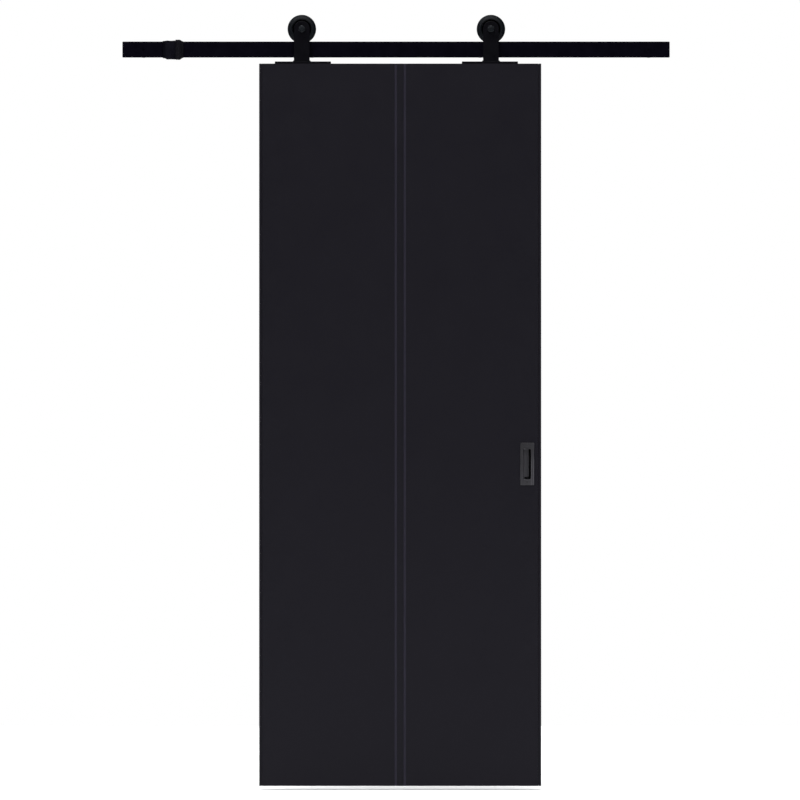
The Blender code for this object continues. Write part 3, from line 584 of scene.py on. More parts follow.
def leaf_colour(made):
    """Charcoal of the leaf: clouds and speckles, grooves lightened as a painted highlight, a line
    over each edge joint.
    """
    colour = DOOR_CHARCOAL
    soft = (0.3, shade(colour, 0.96)), (0.7, shade(colour, 1.04))
    speckled = (0.35, shade(colour, 0.93)), (0.65, shade(colour, 1.07))
    clouds = add_ramp(made.tree, made.noise(5, 4), *soft)
    face = made.mixed(0.5, clouds, add_ramp(made.tree, made.noise(160, 3), *speckled))
    x, y, _ = made.axes()
    front = -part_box("front_skin")[0].y
    sunk = made.between(made.span(y, 0), 1, 0, front - GROOVE_HIGHLIGHT_DEPTH, front)
    aside = made.span(x, middle("front_skin").x)
    beside = made.between(aside, 1, 0, GROOVE_SPACING, GROOVE_SPACING + GROOVE_WIDTH)
    # Painted highlight: the groove walls are coloured lighter than the face.
    face = made.mixed(made.times(sunk, beside), face, shade(colour, GROOVE_PAINTED_HIGHLIGHT))
    for side in SIDES:
        low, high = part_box(f"edge_lipping_{side}")
        joint = high.x if side == "left" else low.x
        line = made.between(made.span(x, joint), 1, 0, JOINT_HALF / 2, JOINT_HALF)
        face = made.mixed(line, face, shade(colour, JOINT_TINT[side]))
    return face


def door_paint():
    """Satin charcoal paint: roller stipple, soft clouds, a trace of handling by the pull."""
    made = Finish("charcoal_satin_paint", 0.5, 0.0, 0.1)
    made.link(leaf_colour(made), "Base Color")
    inputs = {0: made.place, 1: middle("flush_pull_front")}
    offset = made.node("VectorMath", inputs, operation="SUBTRACT").outputs[0]
    flattened = made.node("Mapping", {"Vector": offset, "Scale": (1, 0, 0.6)}).outputs[0]
    smudges = made.between(made.noise(45, 4), 0.4, 1, 0.4, 0.7)
    near = made.between(made.length(flattened), 0.07, 0, 0.03, 0.13)
    gloss = made.between(made.noise(14, 3), 0.47, 0.55)
    made.link(made.maths("SUBTRACT", gloss, made.times(near, smudges)), "Roughness")
    made.emboss(made.noise(120, 2), 0.00002)
    made.emboss(made.noise(700, 3), 0.000028)
    return made.material


def timber(name, colours, stretch, roughness):
    """Timber: long growth bands and fibres along the axis that stretch squeezes."""
    made = Finish(name, roughness, 0.0, 0.3)
    pale, warm, band, fibre = colours
    warp = made.noise(3, 3, stretch)
    wave = {"Scale": 26, "Distortion": 7, "Detail": 3, "Detail Scale": 1.4}
    wave["Vector"] = made.stretched(stretch)
    bands = made.node("TexWave", wave, wave_type="RINGS").outputs["Fac"]
    fibres = made.noise(420, 4, stretch)
    wide = made.mixed(made.between(warp, 0.25, 0.75), pale, warm)
    banded = made.mixed(made.between(bands, 0, 0.55, 0.2, 0.9), wide, band)
    fibred = made.mixed(made.between(fibres, 0, 0.35, 0.4, 0.75), banded, fibre)
    made.link(fibred, "Base Color")
    made.roughen_by(fibres, roughness - 0.06, roughness + 0.08)
    made.emboss(fibres, 0.00005)
    made.emboss(bands, 0.00004)
    return made.material


def chip_core():
    """Pressed chips of the leaf's core."""
    made = Finish("pressed_chip_core", 0.85, 0.0, 0.2)
    inputs = {"Vector": made.stretched((1, 2.2, 1.4)), "Scale": 170}
    chips = made.node("TexVoronoi", inputs, feature="F1")
    made.colour_by(chips.outputs["Color"], *zip((0.1, 0.5, 0.9), CHIP_SHADES))
    made.emboss(chips.outputs["Distance"], 0.0004)
    return made.material


def pull_colour(made, brush):
    """Grey of the pulls: painted light that grows to the right and down, a recess floor with
    painted light and shade that darkens to the right, two painted highlight lines and a finger
    slot coloured nearly black as painted shade."""
    colour = PULL_GREY
    x, y, z = made.axes()
    # Painted light: the grey is coloured lighter to the right and down.
    light_slope = made.maths("SUBTRACT", made.times(x, PULL_PAINTED_LIGHT_SLOPE[0]), made.times(z, PULL_PAINTED_LIGHT_SLOPE[1]))
    cloud = made.between(made.noise(60, 3), -0.04, 0.04)
    painted_light = made.between(made.maths("ADD", light_slope, cloud), 0, 1, -0.35, 0.35)
    body = made.mixed(painted_light, shade(colour, 0.6), shade(colour, 1.25))
    depth = made.span(y, 0)
    # Painted light and shade: the recess floor is lighter at its shallow left side and darker at
    # its deep right side.
    across = made.between(depth, 0, 1, RECESS_LEFT_DEPTH, RECESS_RIGHT_DEPTH)
    floor = made.mixed(across, shade(colour, 1.8), shade(colour, 0.25))
    inside = made.between(depth, 0, 1, RECESS_LEFT_DEPTH - GAP, RECESS_LEFT_DEPTH)
    streaks = (0.3, shade(colour, 0.86)), (0.7, shade(colour, 1.12))
    brushed = add_ramp(made.tree, brush, *streaks)
    body = made.mixed(0.2, made.mixed(inside, body, floor), brushed)
    low_end = made.between(z, 1, 0, *PULL_LINE_FADE)
    # Painted highlights: two bright lines on the lip and outer edge at the right.
    for place in PULL_HIGHLIGHT_LINES:
        line = made.between(made.span(x, place), 1, 0, *PULL_LINE_HALF)
        body = made.mixed(made.times(line, low_end), body, shade(colour, 2.2))
    # Painted shade: the finger slot is coloured nearly black, less so towards the left along its
    # foot.
    sunk = made.between(depth, 0, 1, RECESS_RIGHT_DEPTH + GAP, RECESS_RIGHT_DEPTH + 3 * GAP)
    foot = made.between(x, 0, 1, 0, RECESS[0] / 4)
    slot = made.mixed(foot, shade(colour, 0.5), PULL_SLOT_PAINTED_SHADE)
    return made.mixed(sunk, body, slot), sunk


def pull_metal():
    """Dark grey zinc of the pulls, with a fine vertical brush under a satin lacquer."""
    made = Finish("satin_grey_zinc", 0.42, 0.35, 0.45)
    brush = made.noise(2600, 3, (1, 1, 0.035))
    body, sunk = pull_colour(made, brush)
    made.link(body, "Base Color")
    made.link(made.between(sunk, 0.45, 0.04, 0, 1), "Specular IOR Level")
    made.roughen_by(brush, 0.37, 0.47)
    made.emboss(brush, 0.000008)
    return made.material


def make_finishes():
    """Every finish of the set, by name."""
    return {
        "rail": rail_coat(),
        "hanger": powder_coat("hanger_powder_coat", HANGER_BLACK, 0.42, 0.06).material,
        "clamp": clamp_coat(),
        "wheel": turned_black(),
        "bolt": oxide_steel(),
        "bearing": bearing_steel(),
        "seal": rubber("nitrile_seal", SEAL_BLACK, 2200),
        "bumper": rubber("moulded_rubber", BUMPER_BLACK, 1300),
        "nylon": nylon(),
        "paint": door_paint(),
        "sealed_edge": timber("sealed_timber_edge", SEALED_EDGE, (0.05, 1, 1), 0.6),
        "stile": timber("pine_upright", PINE, (1, 1, 0.05), 0.7),
        "core": chip_core(),
        "pull": pull_metal(),
    }


# ---------------------------------------------------------------- screws


# Countersunk screws: head radius, head depth, shank radius, hexagon socket across flats.
RAIL_SCREW = (0.0078, 0.0044, 0.0038, 0.005)
PLATE_SCREW = (0.0045, 0.0026, 0.0021, 0.003)
PULL_SCREW = (0.0033, 0.0017, 0.0015, 0.0025)
SOCKET_DEPTH_SHARE = 0.62
HEAD_EDGE = 0.00025
SHANK_SHOWN = 0.004


def screw_head(head_radius, head_depth, shank_radius, socket):
    """Countersunk head about Y, its top at Y = 0 and facing -Y, with a hexagon socket."""
    profile = rounded(
        [
            (0, 0, 0),
            (head_radius, 0, HEAD_EDGE),
            (head_radius, HEAD_EDGE * 2, HEAD_EDGE),
            (shank_radius, head_depth, 0),
            (shank_radius, head_depth + SHANK_SHOWN, 0),
            (0, head_depth + SHANK_SHOWN, 0),
        ]
    )
    depth = head_depth * SOCKET_DEPTH_SHARE
    hole = extruded(hexagon(socket), -depth, depth, "Y")
    return baked(lathe(profile, SMALL_SEGMENTS), cut=[hole])


def countersink(head_radius, head_depth, shank_radius, depth):
    """Tool for the hole of such a screw, open towards -Y."""
    mouth = head_radius + GAP
    bore = shank_radius + GAP
    profile = [
        (0, -depth),
        (mouth, -depth),
        (mouth, HEAD_EDGE),
        (bore, head_depth),
        (bore, depth),
        (0, depth),
    ]
    return lathe(profile, SMALL_SEGMENTS)


# ---------------------------------------------------------------- rail and standoffs

RAIL_CORNER = 0.0025
RAIL_EDGE = 0.0009
STANDOFFS = ("standoff_1", "standoff_2", "standoff_3", "standoff_4")
STANDOFF_BOSS = 0.011
STANDOFF_FLANGE = 0.004
STANDOFF_FILLET = 0.004
STANDOFF_EDGE = 0.0009
WALL_HOLE_OFFSET = 0.017
WALL_HOLE_RADIUS = 0.0024
WALL_HOLE_MOUTH = 0.0032


def rail_mesh():
    """Flat bar with rounded edges and a countersunk hole at each standoff."""
    centre, extent = middle("rail"), size("rail")
    outline = rectangle(extent.x, extent.z, RAIL_CORNER, (centre.x, centre.z))
    bar = extruded(outline, -extent.y / 2, extent.y / 2, "Y")
    holes = []
    for node in STANDOFFS:
        hole = countersink(*RAIL_SCREW[:3], extent.y * 2)
        holes.append(shifted(hole, x=middle(node).x, y=-extent.y / 2, z=centre.z))
    return baked(bar, edge=RAIL_EDGE, cut=holes)


def standoff_mesh():
    """Turned boss that swells through a fillet into its wall flange, with two screw holes."""
    low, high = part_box("standoff_1")
    flange = high.y - STANDOFF_FLANGE
    radius = size("standoff_1").z / 2
    profile = rounded(
        [
            (0, low.y, 0),
            (STANDOFF_BOSS, low.y, STANDOFF_EDGE),
            (STANDOFF_BOSS, flange, STANDOFF_FILLET),
            (radius, flange, STANDOFF_EDGE),
            (radius, high.y, STANDOFF_EDGE / 2),
            (0, high.y, 0),
        ]
    )
    mouth_edge = flange - GAP
    hole = [
        (0, mouth_edge),
        (WALL_HOLE_MOUTH + GAP, mouth_edge),
        (WALL_HOLE_RADIUS, flange + WALL_HOLE_MOUTH - WALL_HOLE_RADIUS),
        (WALL_HOLE_RADIUS, high.y + STANDOFF_FLANGE),
        (0, high.y + STANDOFF_FLANGE),
    ]
    offsets = (-WALL_HOLE_OFFSET, WALL_HOLE_OFFSET)
    return baked(lathe(profile), cut=[shifted(lathe(hole, SMALL_SEGMENTS), x=x) for x in offsets])


def make_track(finishes):
    """Rail, standoffs and the screws between them."""
    stand_in("rail", rail_mesh(), finishes["rail"])
    standoff = standoff_mesh()
    screw = screw_head(*RAIL_SCREW)
    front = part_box("rail")[0].y
    for node in STANDOFFS:
        centre = middle(node)
        stand_in(node, standoff, finishes["rail"], (centre.x, 0, centre.z))
        screw_node = node.replace("standoff", "rail_screw")
        stand_in(screw_node, screw, finishes["rail"], (centre.x, front, centre.z))


# ---------------------------------------------------------------- end stop

STOP_CORNER = 0.0022
STOP_LIP = 0.0009
STOP_TOE_SHARE = 0.64
# Toe of the sleeve: how far its bottom and top lie outside the rail, and the place and swell of
# its last section.
TOE_BOTTOM = 2 * STOP_LIP
TOE_TOP = 1.6 * STOP_LIP
TOE_END = 0.0035
TOE_SWELL = 0.0021
# Sections of the sleeve behind its toe: the place of each, and how far its side, bottom and top
# lie inside the full size.
SLEEVE_SECTIONS = (
    (0.0075, 0.0013, 0.0032, 0.0012),
    (0.0110, 0.0004, 0.0006, 0.0003),
    (0.0145, 0, 0, 0),
    (0.0185, 0.0001, 0.0003, 0.0005),
    (0.0245, 0.0002, 0.0005, 0.0009),
    (0.0305, 0.0001, 0.0003, 0.0005),
)
SLOT_OVERSHOOT = 0.01
GRUB_SCREWS = ("stop_grub_screw_1", "stop_grub_screw_2")
GRUB_RADIUS = 0.003
GRUB_THREAD = 0.0004
GRUB_PITCH = 0.001
GRUB_TIP_SHARE = 0.4
# Where in one turn the thread's crest starts and ends.
GRUB_CREST = (0.35, 0.5)
GRUB_SOCKET = 0.003
GRUB_SOCKET_FLOOR = 0.55


def section(x, half_depth, low, high, radius):
    """Cross-section of the stop at one place along the rail."""
    centre = (0, (low + high) / 2)
    return [(x, u, v) for u, v in rectangle(2 * half_depth, high - low, radius, centre)]


def rail_slot(left, right):
    """Tool for the slot that the rail passes through."""
    low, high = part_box("rail")
    return block((left, low.y - GAP, low.z - GAP), (right, high.y + GAP, high.z + GAP))


def stop_body_mesh():
    """Sleeve on the rail: a low toe at its outer end, a waisted middle, a flat shoulder."""
    low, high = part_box("stop_body")
    rail_low, rail_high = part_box("rail")
    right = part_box("stop_bumper")[0].x - GAP
    half, lip = high.y, STOP_LIP
    toe = half * STOP_TOE_SHARE
    bottom, top = rail_low.z - TOE_BOTTOM, rail_high.z + TOE_TOP
    stations = [
        (low.x, toe - lip, rail_low.z - lip, rail_high.z + lip),
        (low.x + lip, toe, bottom, top),
        (low.x + TOE_END, toe + TOE_SWELL, bottom, top),
    ]
    for place, side, lift, drop in SLEEVE_SECTIONS:
        stations.append((low.x + place, half - side, low.z + lift, high.z - drop))
    stations.append((right - lip, half, low.z, high.z))
    stations.append((right, half - lip, low.z + lip, high.z - lip))
    sleeve = loft([section(*station, STOP_CORNER) for station in stations])
    tools = [rail_slot(low.x - SLOT_OVERSHOOT, right + SLOT_OVERSHOOT)]
    for node in GRUB_SCREWS:
        centre = middle(node)
        tools.append(shifted(disc(GRUB_RADIUS + GAP, 0, 2 * half), x=centre.x, z=centre.z))
    return baked(sleeve, cut=tools)


# Bumper: size of its bead, start and floor and end of its groove, end of its full section.
BUMPER_BEAD = 0.0007
BUMPER_GROOVE = (0.0034, 0.0042, 0.0052, 0.0060)
BUMPER_SHOULDER = 0.0114
BUMPER_CORNER = 1.4 * STOP_CORNER
# Its taper: the place of each section, with the shares of the full height and depth left.
BUMPER_SLOPE = (
    (0.0142, 0.82, 0.86),
    (0.0166, 0.56, 0.5),
    (0.0196, 0.24, 0.2),
    (0.0222, 0.12, 0.06),
)


def bumper_mesh():
    """Rubber collar with a rounded bead, a shallow groove and a taper down to the rail."""
    low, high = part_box("stop_bumper")
    rail_low, rail_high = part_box("rail")
    half, drop = high.y, BUMPER_BEAD
    rise, fall = high.z - rail_high.z, rail_low.z - low.z
    waist = (half - drop, low.z + drop, high.z - drop)
    full = (half, low.z, high.z)
    groove_start, groove_low, groove_high, groove_end = BUMPER_GROOVE
    stations = [
        (low.x, *waist),
        (low.x + drop, *full),
        (low.x + groove_start, *full),
        (low.x + groove_low, *waist),
        (low.x + groove_high, *waist),
        (low.x + groove_end, *full),
        (low.x + BUMPER_SHOULDER, *full),
    ]
    narrow = size("rail").y
    for place, share, depth_share in BUMPER_SLOPE:
        depth = narrow + (half - narrow) * depth_share
        bottom, top = rail_low.z - fall * share, rail_high.z + rise * share
        stations.append((low.x + place, depth, bottom, top))
    _, depth, end_low, end_high = stations[-1]
    stations.append((high.x, depth - drop, end_low + drop / 2, end_high - drop / 2))
    collar = loft([section(*station, BUMPER_CORNER) for station in stations])
    return baked(collar, cut=[rail_slot(low.x - drop, high.x + drop)])


def grub_screw_mesh():
    """Threaded screw about Y with a socket in its +Y end; its tip is at Y = 0."""
    length = size("stop_grub_screw_1").y
    crest, root = GRUB_RADIUS, GRUB_RADIUS - GRUB_THREAD
    tip = root * GRUB_TIP_SHARE
    profile = [(0, 0), (root - tip, 0), (root, tip)]
    for turn in range(int((length - tip) / GRUB_PITCH)):
        start = tip + turn * GRUB_PITCH
        profile += [(crest, start + GRUB_PITCH * share) for share in GRUB_CREST]
        profile.append((root, start + GRUB_PITCH))
    profile += [(root, length), (0, length)]
    socket = extruded(hexagon(GRUB_SOCKET), length * GRUB_SOCKET_FLOOR, length * 2, "Y")
    return baked(lathe(profile, SMALL_SEGMENTS), cut=[socket])


def make_stop(finishes):
    """End stop, its bumper and the screws that clamp it."""
    stand_in("stop_body", stop_body_mesh(), finishes["clamp"])
    stand_in("stop_bumper", bumper_mesh(), finishes["bumper"])
    screw = grub_screw_mesh()
    for node in GRUB_SCREWS:
        low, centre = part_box(node)[0], middle(node)
        stand_in(node, screw, finishes["bolt"], (centre.x, low.y, centre.z))


# ---------------------------------------------------------------- door leaf

SKIN_EDGE = 0.0005
LIPPING_EDGE = 0.0012
TRAY_WALL = 0.0012
RECESS_CORNER = 0.003
PULL_SCREW_OFFSET = 0.0535


def skin_outline(front, back):
    """Plan outline of the front skin, with two V-grooves in its face."""
    low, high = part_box("front_skin")
    centre = middle("front_skin").x
    corners = [(low.x, front, SKIN_EDGE)]
    for side in (-1, 1):
        groove = centre + side * GROOVE_SPACING / 2
        corners += [
            (groove - GROOVE_WIDTH / 2, front, GROOVE_LIP),
            (groove - GROOVE_FLOOR / 2, front + GROOVE_DEPTH, GROOVE_LIP),
            (groove + GROOVE_FLOOR / 2, front + GROOVE_DEPTH, GROOVE_LIP),
            (groove + GROOVE_WIDTH / 2, front, GROOVE_LIP),
        ]
    corners += [(high.x, front, SKIN_EDGE), (high.x, back, 0), (low.x, back, 0)]
    return rounded(corners, EDGE_STEPS)


def skin_mesh():
    """Front skin with its grooves and the mortise for the pull."""
    low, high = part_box("front_skin")
    plain = extruded(skin_outline(low.y, high.y), low.z, high.z, "Z")
    pull = middle("flush_pull_front")
    grown = 2 * (TRAY_WALL + GAP)
    width, length = RECESS[0] + grown, RECESS[1] + grown
    outline = rectangle(width, length, RECESS_CORNER + TRAY_WALL, (pull.x, pull.z))
    mortise = extruded(outline, low.y - TRAY_DEPTH, high.y + TRAY_DEPTH, "Y")
    return baked(plain, cut=[mortise])


def mirrored(mesh):
    """Copy of a mesh on the other side of the plane Y = 0."""
    bm = bmesh.new()
    bm.from_mesh(mesh)
    for vert in bm.verts:
        vert.co.y = -vert.co.y
    return mesh_of(bm)


def repaint(node, finish):
    """Give one of the frame's own nodes a finish."""
    materials = frame["nodes"][node].data.materials
    materials.clear()
    materials.append(finish)


def make_leaf(finishes):
    """Door leaf: skins and lippings are finer pieces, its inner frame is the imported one."""
    skin = skin_mesh()
    stand_in("front_skin", skin, finishes["paint"])
    stand_in("back_skin", mirrored(skin), finishes["paint"])
    for side in SIDES:
        node = f"edge_lipping_{side}"
        strip = baked(block(*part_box(node)), edge=LIPPING_EDGE)
        stand_in(node, strip, finishes["paint"])
        repaint(f"stile_{side}", finishes["stile"])
    repaint("top_rail", finishes["sealed_edge"])
    repaint("bottom_rail", finishes["sealed_edge"])
    repaint("core_panel", finishes["core"])


# ---------------------------------------------------------------- flush pulls

# Recess of the pull: its width and length, the depth of its floor at the left and right sides,
# and the L-shaped finger slot down its right side and along its foot.
RECESS = (0.0218, 0.0886)
RECESS_LEFT_DEPTH = 0.0060
RECESS_RIGHT_DEPTH = 0.0105
SLOT_DEPTH = 0.0122
SLOT_WIDTH = 0.0054
SLOT_MARGIN = 0.0005
SLOT_CORNER = 0.0015
SLOT_FOOT = 0.0064
SLOT_HEAD_GAP = 0.002
TRAY_DEPTH = 0.0135
FLANGE = 0.002
FLANGE_CORNER = 0.0018
FLANGE_EDGE = 0.0005
LIP_ROUND = 0.0006
FLOOR_ROUND = 0.0018


def recess_floor(u):
    """Depth of the recess floor below the door's face, from its left to its right side."""
    share = u / RECESS[0] + 0.5
    return RECESS_LEFT_DEPTH + (RECESS_RIGHT_DEPTH - RECESS_LEFT_DEPTH) * share


def slot_tool():
    """Tool for the finger slot, about the pull's own centre."""
    right, top = RECESS[0] / 2 - SLOT_MARGIN, RECESS[1] / 2 - SLOT_HEAD_GAP
    bottom = -RECESS[1] / 2 + SLOT_MARGIN
    left, step = -right + SLOT_WIDTH / 2, bottom + SLOT_FOOT
    outline = rounded(
        [
            (right, top, SLOT_CORNER),
            (right - SLOT_WIDTH, top, SLOT_CORNER),
            (right - SLOT_WIDTH, step, SLOT_CORNER),
            (left, step, SLOT_CORNER),
            (left, bottom, SLOT_CORNER),
            (right, bottom, SLOT_CORNER),
        ]
    )
    return extruded(outline, 0, SLOT_DEPTH, "Y")


def wall_loop(inset, depth_at):
    """Loop of the recess wall, inset from its mouth, at the depth that its place across gives."""
    outline = rectangle(RECESS[0] - 2 * inset, RECESS[1] - 2 * inset, RECESS_CORNER)
    return [(u, depth_at(u), v) for u, v in outline]


def flat_loop(width, length, radius, y):
    """Loop of a round-cornered rectangle at one depth."""
    return [(u, y, v) for u, v in rectangle(width, length, radius)]


def pull_mesh():
    """Flush pull about its own centre: Y = 0 is the door's face and +Y goes into the door."""
    extent = size("flush_pull_front")
    front = -GAP - FLANGE
    turns = [math.pi / 2 * i / EDGE_STEPS for i in range(EDGE_STEPS + 1)]
    quarter = [(1 - math.sin(turn), 1 - math.cos(turn)) for turn in turns]
    loops = []
    for across, along in quarter:
        rise = FLOOR_ROUND * along
        loops.append(wall_loop(FLOOR_ROUND * across, lambda u: recess_floor(u) - rise))
    for across, along in quarter:
        y = front + LIP_ROUND * across
        loops.append(wall_loop(-LIP_ROUND * along, lambda _: y))
    for across, along in quarter:
        inset, y = FLANGE_EDGE * across, front + FLANGE_EDGE * along
        loops.append(flat_loop(extent.x - 2 * inset, extent.z - 2 * inset, FLANGE_CORNER, y))
    loops.append(flat_loop(extent.x, extent.z, FLANGE_CORNER, -GAP))
    tray = (RECESS[0] + 2 * TRAY_WALL, RECESS[1] + 2 * TRAY_WALL, RECESS_CORNER + TRAY_WALL)
    loops.append(flat_loop(*tray, -GAP))
    loops.append(flat_loop(*tray, TRAY_DEPTH))
    hole = countersink(*PULL_SCREW[:3], FLANGE * 2)
    offsets = (-PULL_SCREW_OFFSET, PULL_SCREW_OFFSET)
    holes = [shifted(hole.copy(), y=front, z=z) for z in offsets]
    return baked(loft(loops), cut=[slot_tool(), *holes])


def make_pulls(finishes):
    """A flush pull and its two screws on each face of the leaf."""
    face_y = {"front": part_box("front_skin")[0].y, "back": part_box("back_skin")[1].y}
    pull = pull_mesh()
    screw = screw_head(*PULL_SCREW)
    shapes = {
        "front": (pull, screw, -1),
        "back": (shifted(pull.copy(), turn=TO_BACK), shifted(screw.copy(), turn=TO_BACK), 1),
    }
    for face, (pull_shape, screw_shape, outward) in shapes.items():
        node = f"flush_pull_{face}"
        centre = middle(node)
        stand_in(node, pull_shape, finishes["pull"], (centre.x, face_y[face], centre.z))
        head = face_y[face] + outward * (GAP + FLANGE)
        for end, offset in (("top", PULL_SCREW_OFFSET), ("bottom", -PULL_SCREW_OFFSET)):
            at = (centre.x, head, centre.z + offset)
            stand_in(f"pull_screw_{face}_{end}", screw_shape, finishes["pull"], at)


# ---------------------------------------------------------------- hangers

STRAP_EDGE = 0.0011
PLATE_CORNER = 0.004
PLATE_EDGE = 0.0012
PLATE_SCREWS = range(1, 5)
ROUND_TOP_STEPS = 48
BEAD_RADIUS = 0.0032
BEAD_RIPPLE = 0.0004
BEAD_PITCH = 0.0018
BEAD_STEPS = 10
# How far the bead's hidden corner lies inside the strap and under the plate, its size at its two
# ends and how fast it grows from there, and how far its crown stands out.
BEAD_ROOT = (0.001, 0.0008)
BEAD_END = (0.55, 0.15)
BEAD_CROWN = 0.14


def strap_mesh(axle):
    """Flat strap with a round top about the axle's line, which is its own origin."""
    low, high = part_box("hanger_strap_left")
    radius = size("hanger_strap_left").x / 2
    foot = low.z - axle.z
    angles = [math.pi * i / ROUND_TOP_STEPS for i in range(ROUND_TOP_STEPS + 1)]
    outline = [(radius * math.cos(a), radius * math.sin(a)) for a in angles]
    outline += [(-radius, foot), (radius, foot)]
    blank = extruded(outline, low.y, high.y, "Y")
    hole = disc(AXLE_RADIUS + GAP, low.y - AXLE_RADIUS, high.y + AXLE_RADIUS)
    return baked(blank, edge=STRAP_EDGE, cut=[hole])


def plate_mesh():
    """Base plate about its own middle, with rounded edges and countersunk holes."""
    node = "base_plate_left"
    extent, centre = size(node), middle(node)
    outline = rectangle(extent.x, extent.y, PLATE_CORNER)
    blank = extruded(outline, -extent.z / 2, extent.z / 2, "Z")
    holes = []
    for number in PLATE_SCREWS:
        hole = countersink(*PLATE_SCREW[:3], extent.z * 2)
        x = middle(f"plate_screw_left_{number}").x - centre.x
        holes.append(shifted(hole, x=x, z=extent.z / 2, turn=TO_TOP))
    return baked(blank, edge=PLATE_EDGE, cut=holes)


def bead_path():
    """Path of the weld round the strap's foot: one side, the back, the other side."""
    low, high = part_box("hanger_strap_left")
    half = size("hanger_strap_left").x / 2
    inner = STRAP_EDGE
    corners = [(-half, low.y + inner), (-half, high.y), (half, high.y), (half, low.y + inner)]
    points = []
    for (x0, y0), (x1, y1) in zip(corners, corners[1:]):
        length = math.hypot(x1 - x0, y1 - y0)
        count = max(2, round(length / BEAD_PITCH * 4))
        for step in range(count):
            share = step / count
            points.append(Vector((x0 + (x1 - x0) * share, y0 + (y1 - y0) * share)))
    points.append(Vector(corners[-1]))
    return points


def bead_mesh():
    """Rippled weld bead in the corner between the strap and its plate, from its own origin."""
    path = bead_path()
    last = len(path) - 1
    inside, under = BEAD_ROOT
    end_share, growth = BEAD_END
    loops = []
    travelled = 0.0
    for i, point in enumerate(path):
        along = (path[min(i + 1, last)] - path[max(i - 1, 0)]).normalized()
        outward = Vector((-along.y, along.x))
        if i:
            travelled += (point - path[i - 1]).length
        phase = (travelled / BEAD_PITCH) % 1.0
        radius = BEAD_RADIUS - BEAD_RIPPLE * (1 - math.sin(math.pi * phase))
        radius *= min(1.0, end_share + growth * min(i, last - i))
        loop = [(*(point - outward * inside), -under)]
        for step in range(BEAD_STEPS + 1):
            angle = math.pi / 2 * step / BEAD_STEPS
            bulge = radius * (1 - BEAD_CROWN + BEAD_CROWN * math.sin(2 * angle))
            place = point + outward * bulge * math.cos(angle)
            loop.append((place.x, place.y, bulge * math.sin(angle)))
        loops.append(loop)
    return loft(loops)


# Axle bolt, washer, spacers and lock nut.
AXLE_RADIUS = 0.005
HEAD_FLATS = 0.017
HEAD_HEIGHT = 0.0064
THREAD_PITCH = 0.0015
THREAD_DEPTH = 0.0008
NUT_HEX = 0.0075
NUT_COLLAR = 0.0074
NUT_ROUND = 0.0012
INSERT_RADIUS = 0.0062
INSERT_HEIGHT = 0.0008
INSERT_PLAY = 0.0001
WASHER_EDGE = 0.0004
THREAD_TURNS = 8
# The hexagon's corners are turned off from this share of its half width, at this slope, and an
# end that isn't turned off stays inside this many times its corner radius.
HEX_FACE_SHARE = 0.94
HEX_SLOPE = 0.6
HEX_CLEAR = 1.2


def hex_body(low, high, turned_high):
    """Hexagon about Y between two heights, its corners turned off at the low end, and at the
    high end if asked for."""
    corner = HEAD_FLATS / math.sqrt(3)
    flat = HEAD_FLATS / 2 * HEX_FACE_SHARE
    drop = (corner - flat) * HEX_SLOPE
    profile = [(0, low), (flat, low), (corner, low + drop)]
    plain = [(HEX_CLEAR * corner, high)]
    profile += [(corner, high - drop), (flat, high)] if turned_high else plain
    profile.append((0, high))
    return baked(extruded(hexagon(HEAD_FLATS), low, high, "Y"), keep=[lathe(profile)])


def bolt_mesh():
    """Hexagon bolt about Y: its head's underside is at Y = 0 and its thread runs to +Y."""
    length = size("axle_bolt_left").y - HEAD_HEIGHT
    head = hex_body(-HEAD_HEIGHT, 0, turned_high=False)
    root = AXLE_RADIUS - THREAD_DEPTH
    thread_start = length - (THREAD_TURNS + 1) * THREAD_PITCH
    shank = [(0, -HEAD_HEIGHT / 2), (AXLE_RADIUS, -HEAD_HEIGHT / 2), (AXLE_RADIUS, thread_start)]
    for turn in range(THREAD_TURNS):
        start = thread_start + turn * THREAD_PITCH
        shank += [(root, start + THREAD_PITCH / 2), (AXLE_RADIUS, start + THREAD_PITCH)]
    shank += [(root, length), (0, length)]
    return baked(head, add=[lathe(shank, SMALL_SEGMENTS)])


def nut_mesh():
    """Lock nut about Y with a collar at its +Y end; its seat is at Y = 0."""
    height = size("lock_nut_left").y
    inside = NUT_HEX / 2
    top = [(NUT_COLLAR, inside, 0), (NUT_COLLAR, height, NUT_ROUND)]
    collar = rounded([(0, inside, 0), *top, (0, height, 0)])
    beyond = height + NUT_ROUND
    bore = disc(AXLE_RADIUS + GAP, -NUT_ROUND, beyond)
    seat = disc(INSERT_RADIUS + INSERT_PLAY, height - NUT_ROUND, beyond)
    return baked(hex_body(0, NUT_HEX, turned_high=True), add=[lathe(collar)], cut=[bore, seat])


def insert_mesh():
    """Nylon ring in the lock nut's collar."""
    inner, outer = AXLE_RADIUS + GAP, INSERT_RADIUS
    high = size("lock_nut_left").y - GAP
    low = high - INSERT_HEIGHT
    corners = [(inner, low, 0), (outer, low, 0), (outer, high, GAP), (inner, high, GAP)]
    return lathe(rounded(corners), SMALL_SEGMENTS)


def axle_ring(node):
    """Ring on the axle bolt with a node's own sizes."""
    extent = size(node)
    return ring_mesh(AXLE_RADIUS + GAP, extent.x / 2, 0, extent.y, WASHER_EDGE)


# Rings on each axle bolt, from its head to its nut, with their finishes.
AXLE_RINGS = {
    "axle_washer": "bolt",
    "front_spacer": "bolt",
    "bearing_inner_ring": "bearing",
    "rear_spacer": "bolt",
}


def hanger_shapes(axle):
    """Shapes that both hangers share, each with its node, finish and height along the axle."""
    bolt_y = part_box("axle_bolt_left")[0].y + HEAD_HEIGHT
    yield "hanger_strap", "hanger", strap_mesh(axle), 0
    yield "axle_bolt", "bolt", bolt_mesh(), bolt_y
    for name, finish in AXLE_RINGS.items():
        node = f"{name}_left"
        yield name, finish, axle_ring(node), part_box(node)[0].y
    yield "lock_nut", "bolt", nut_mesh(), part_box("lock_nut_left")[0].y


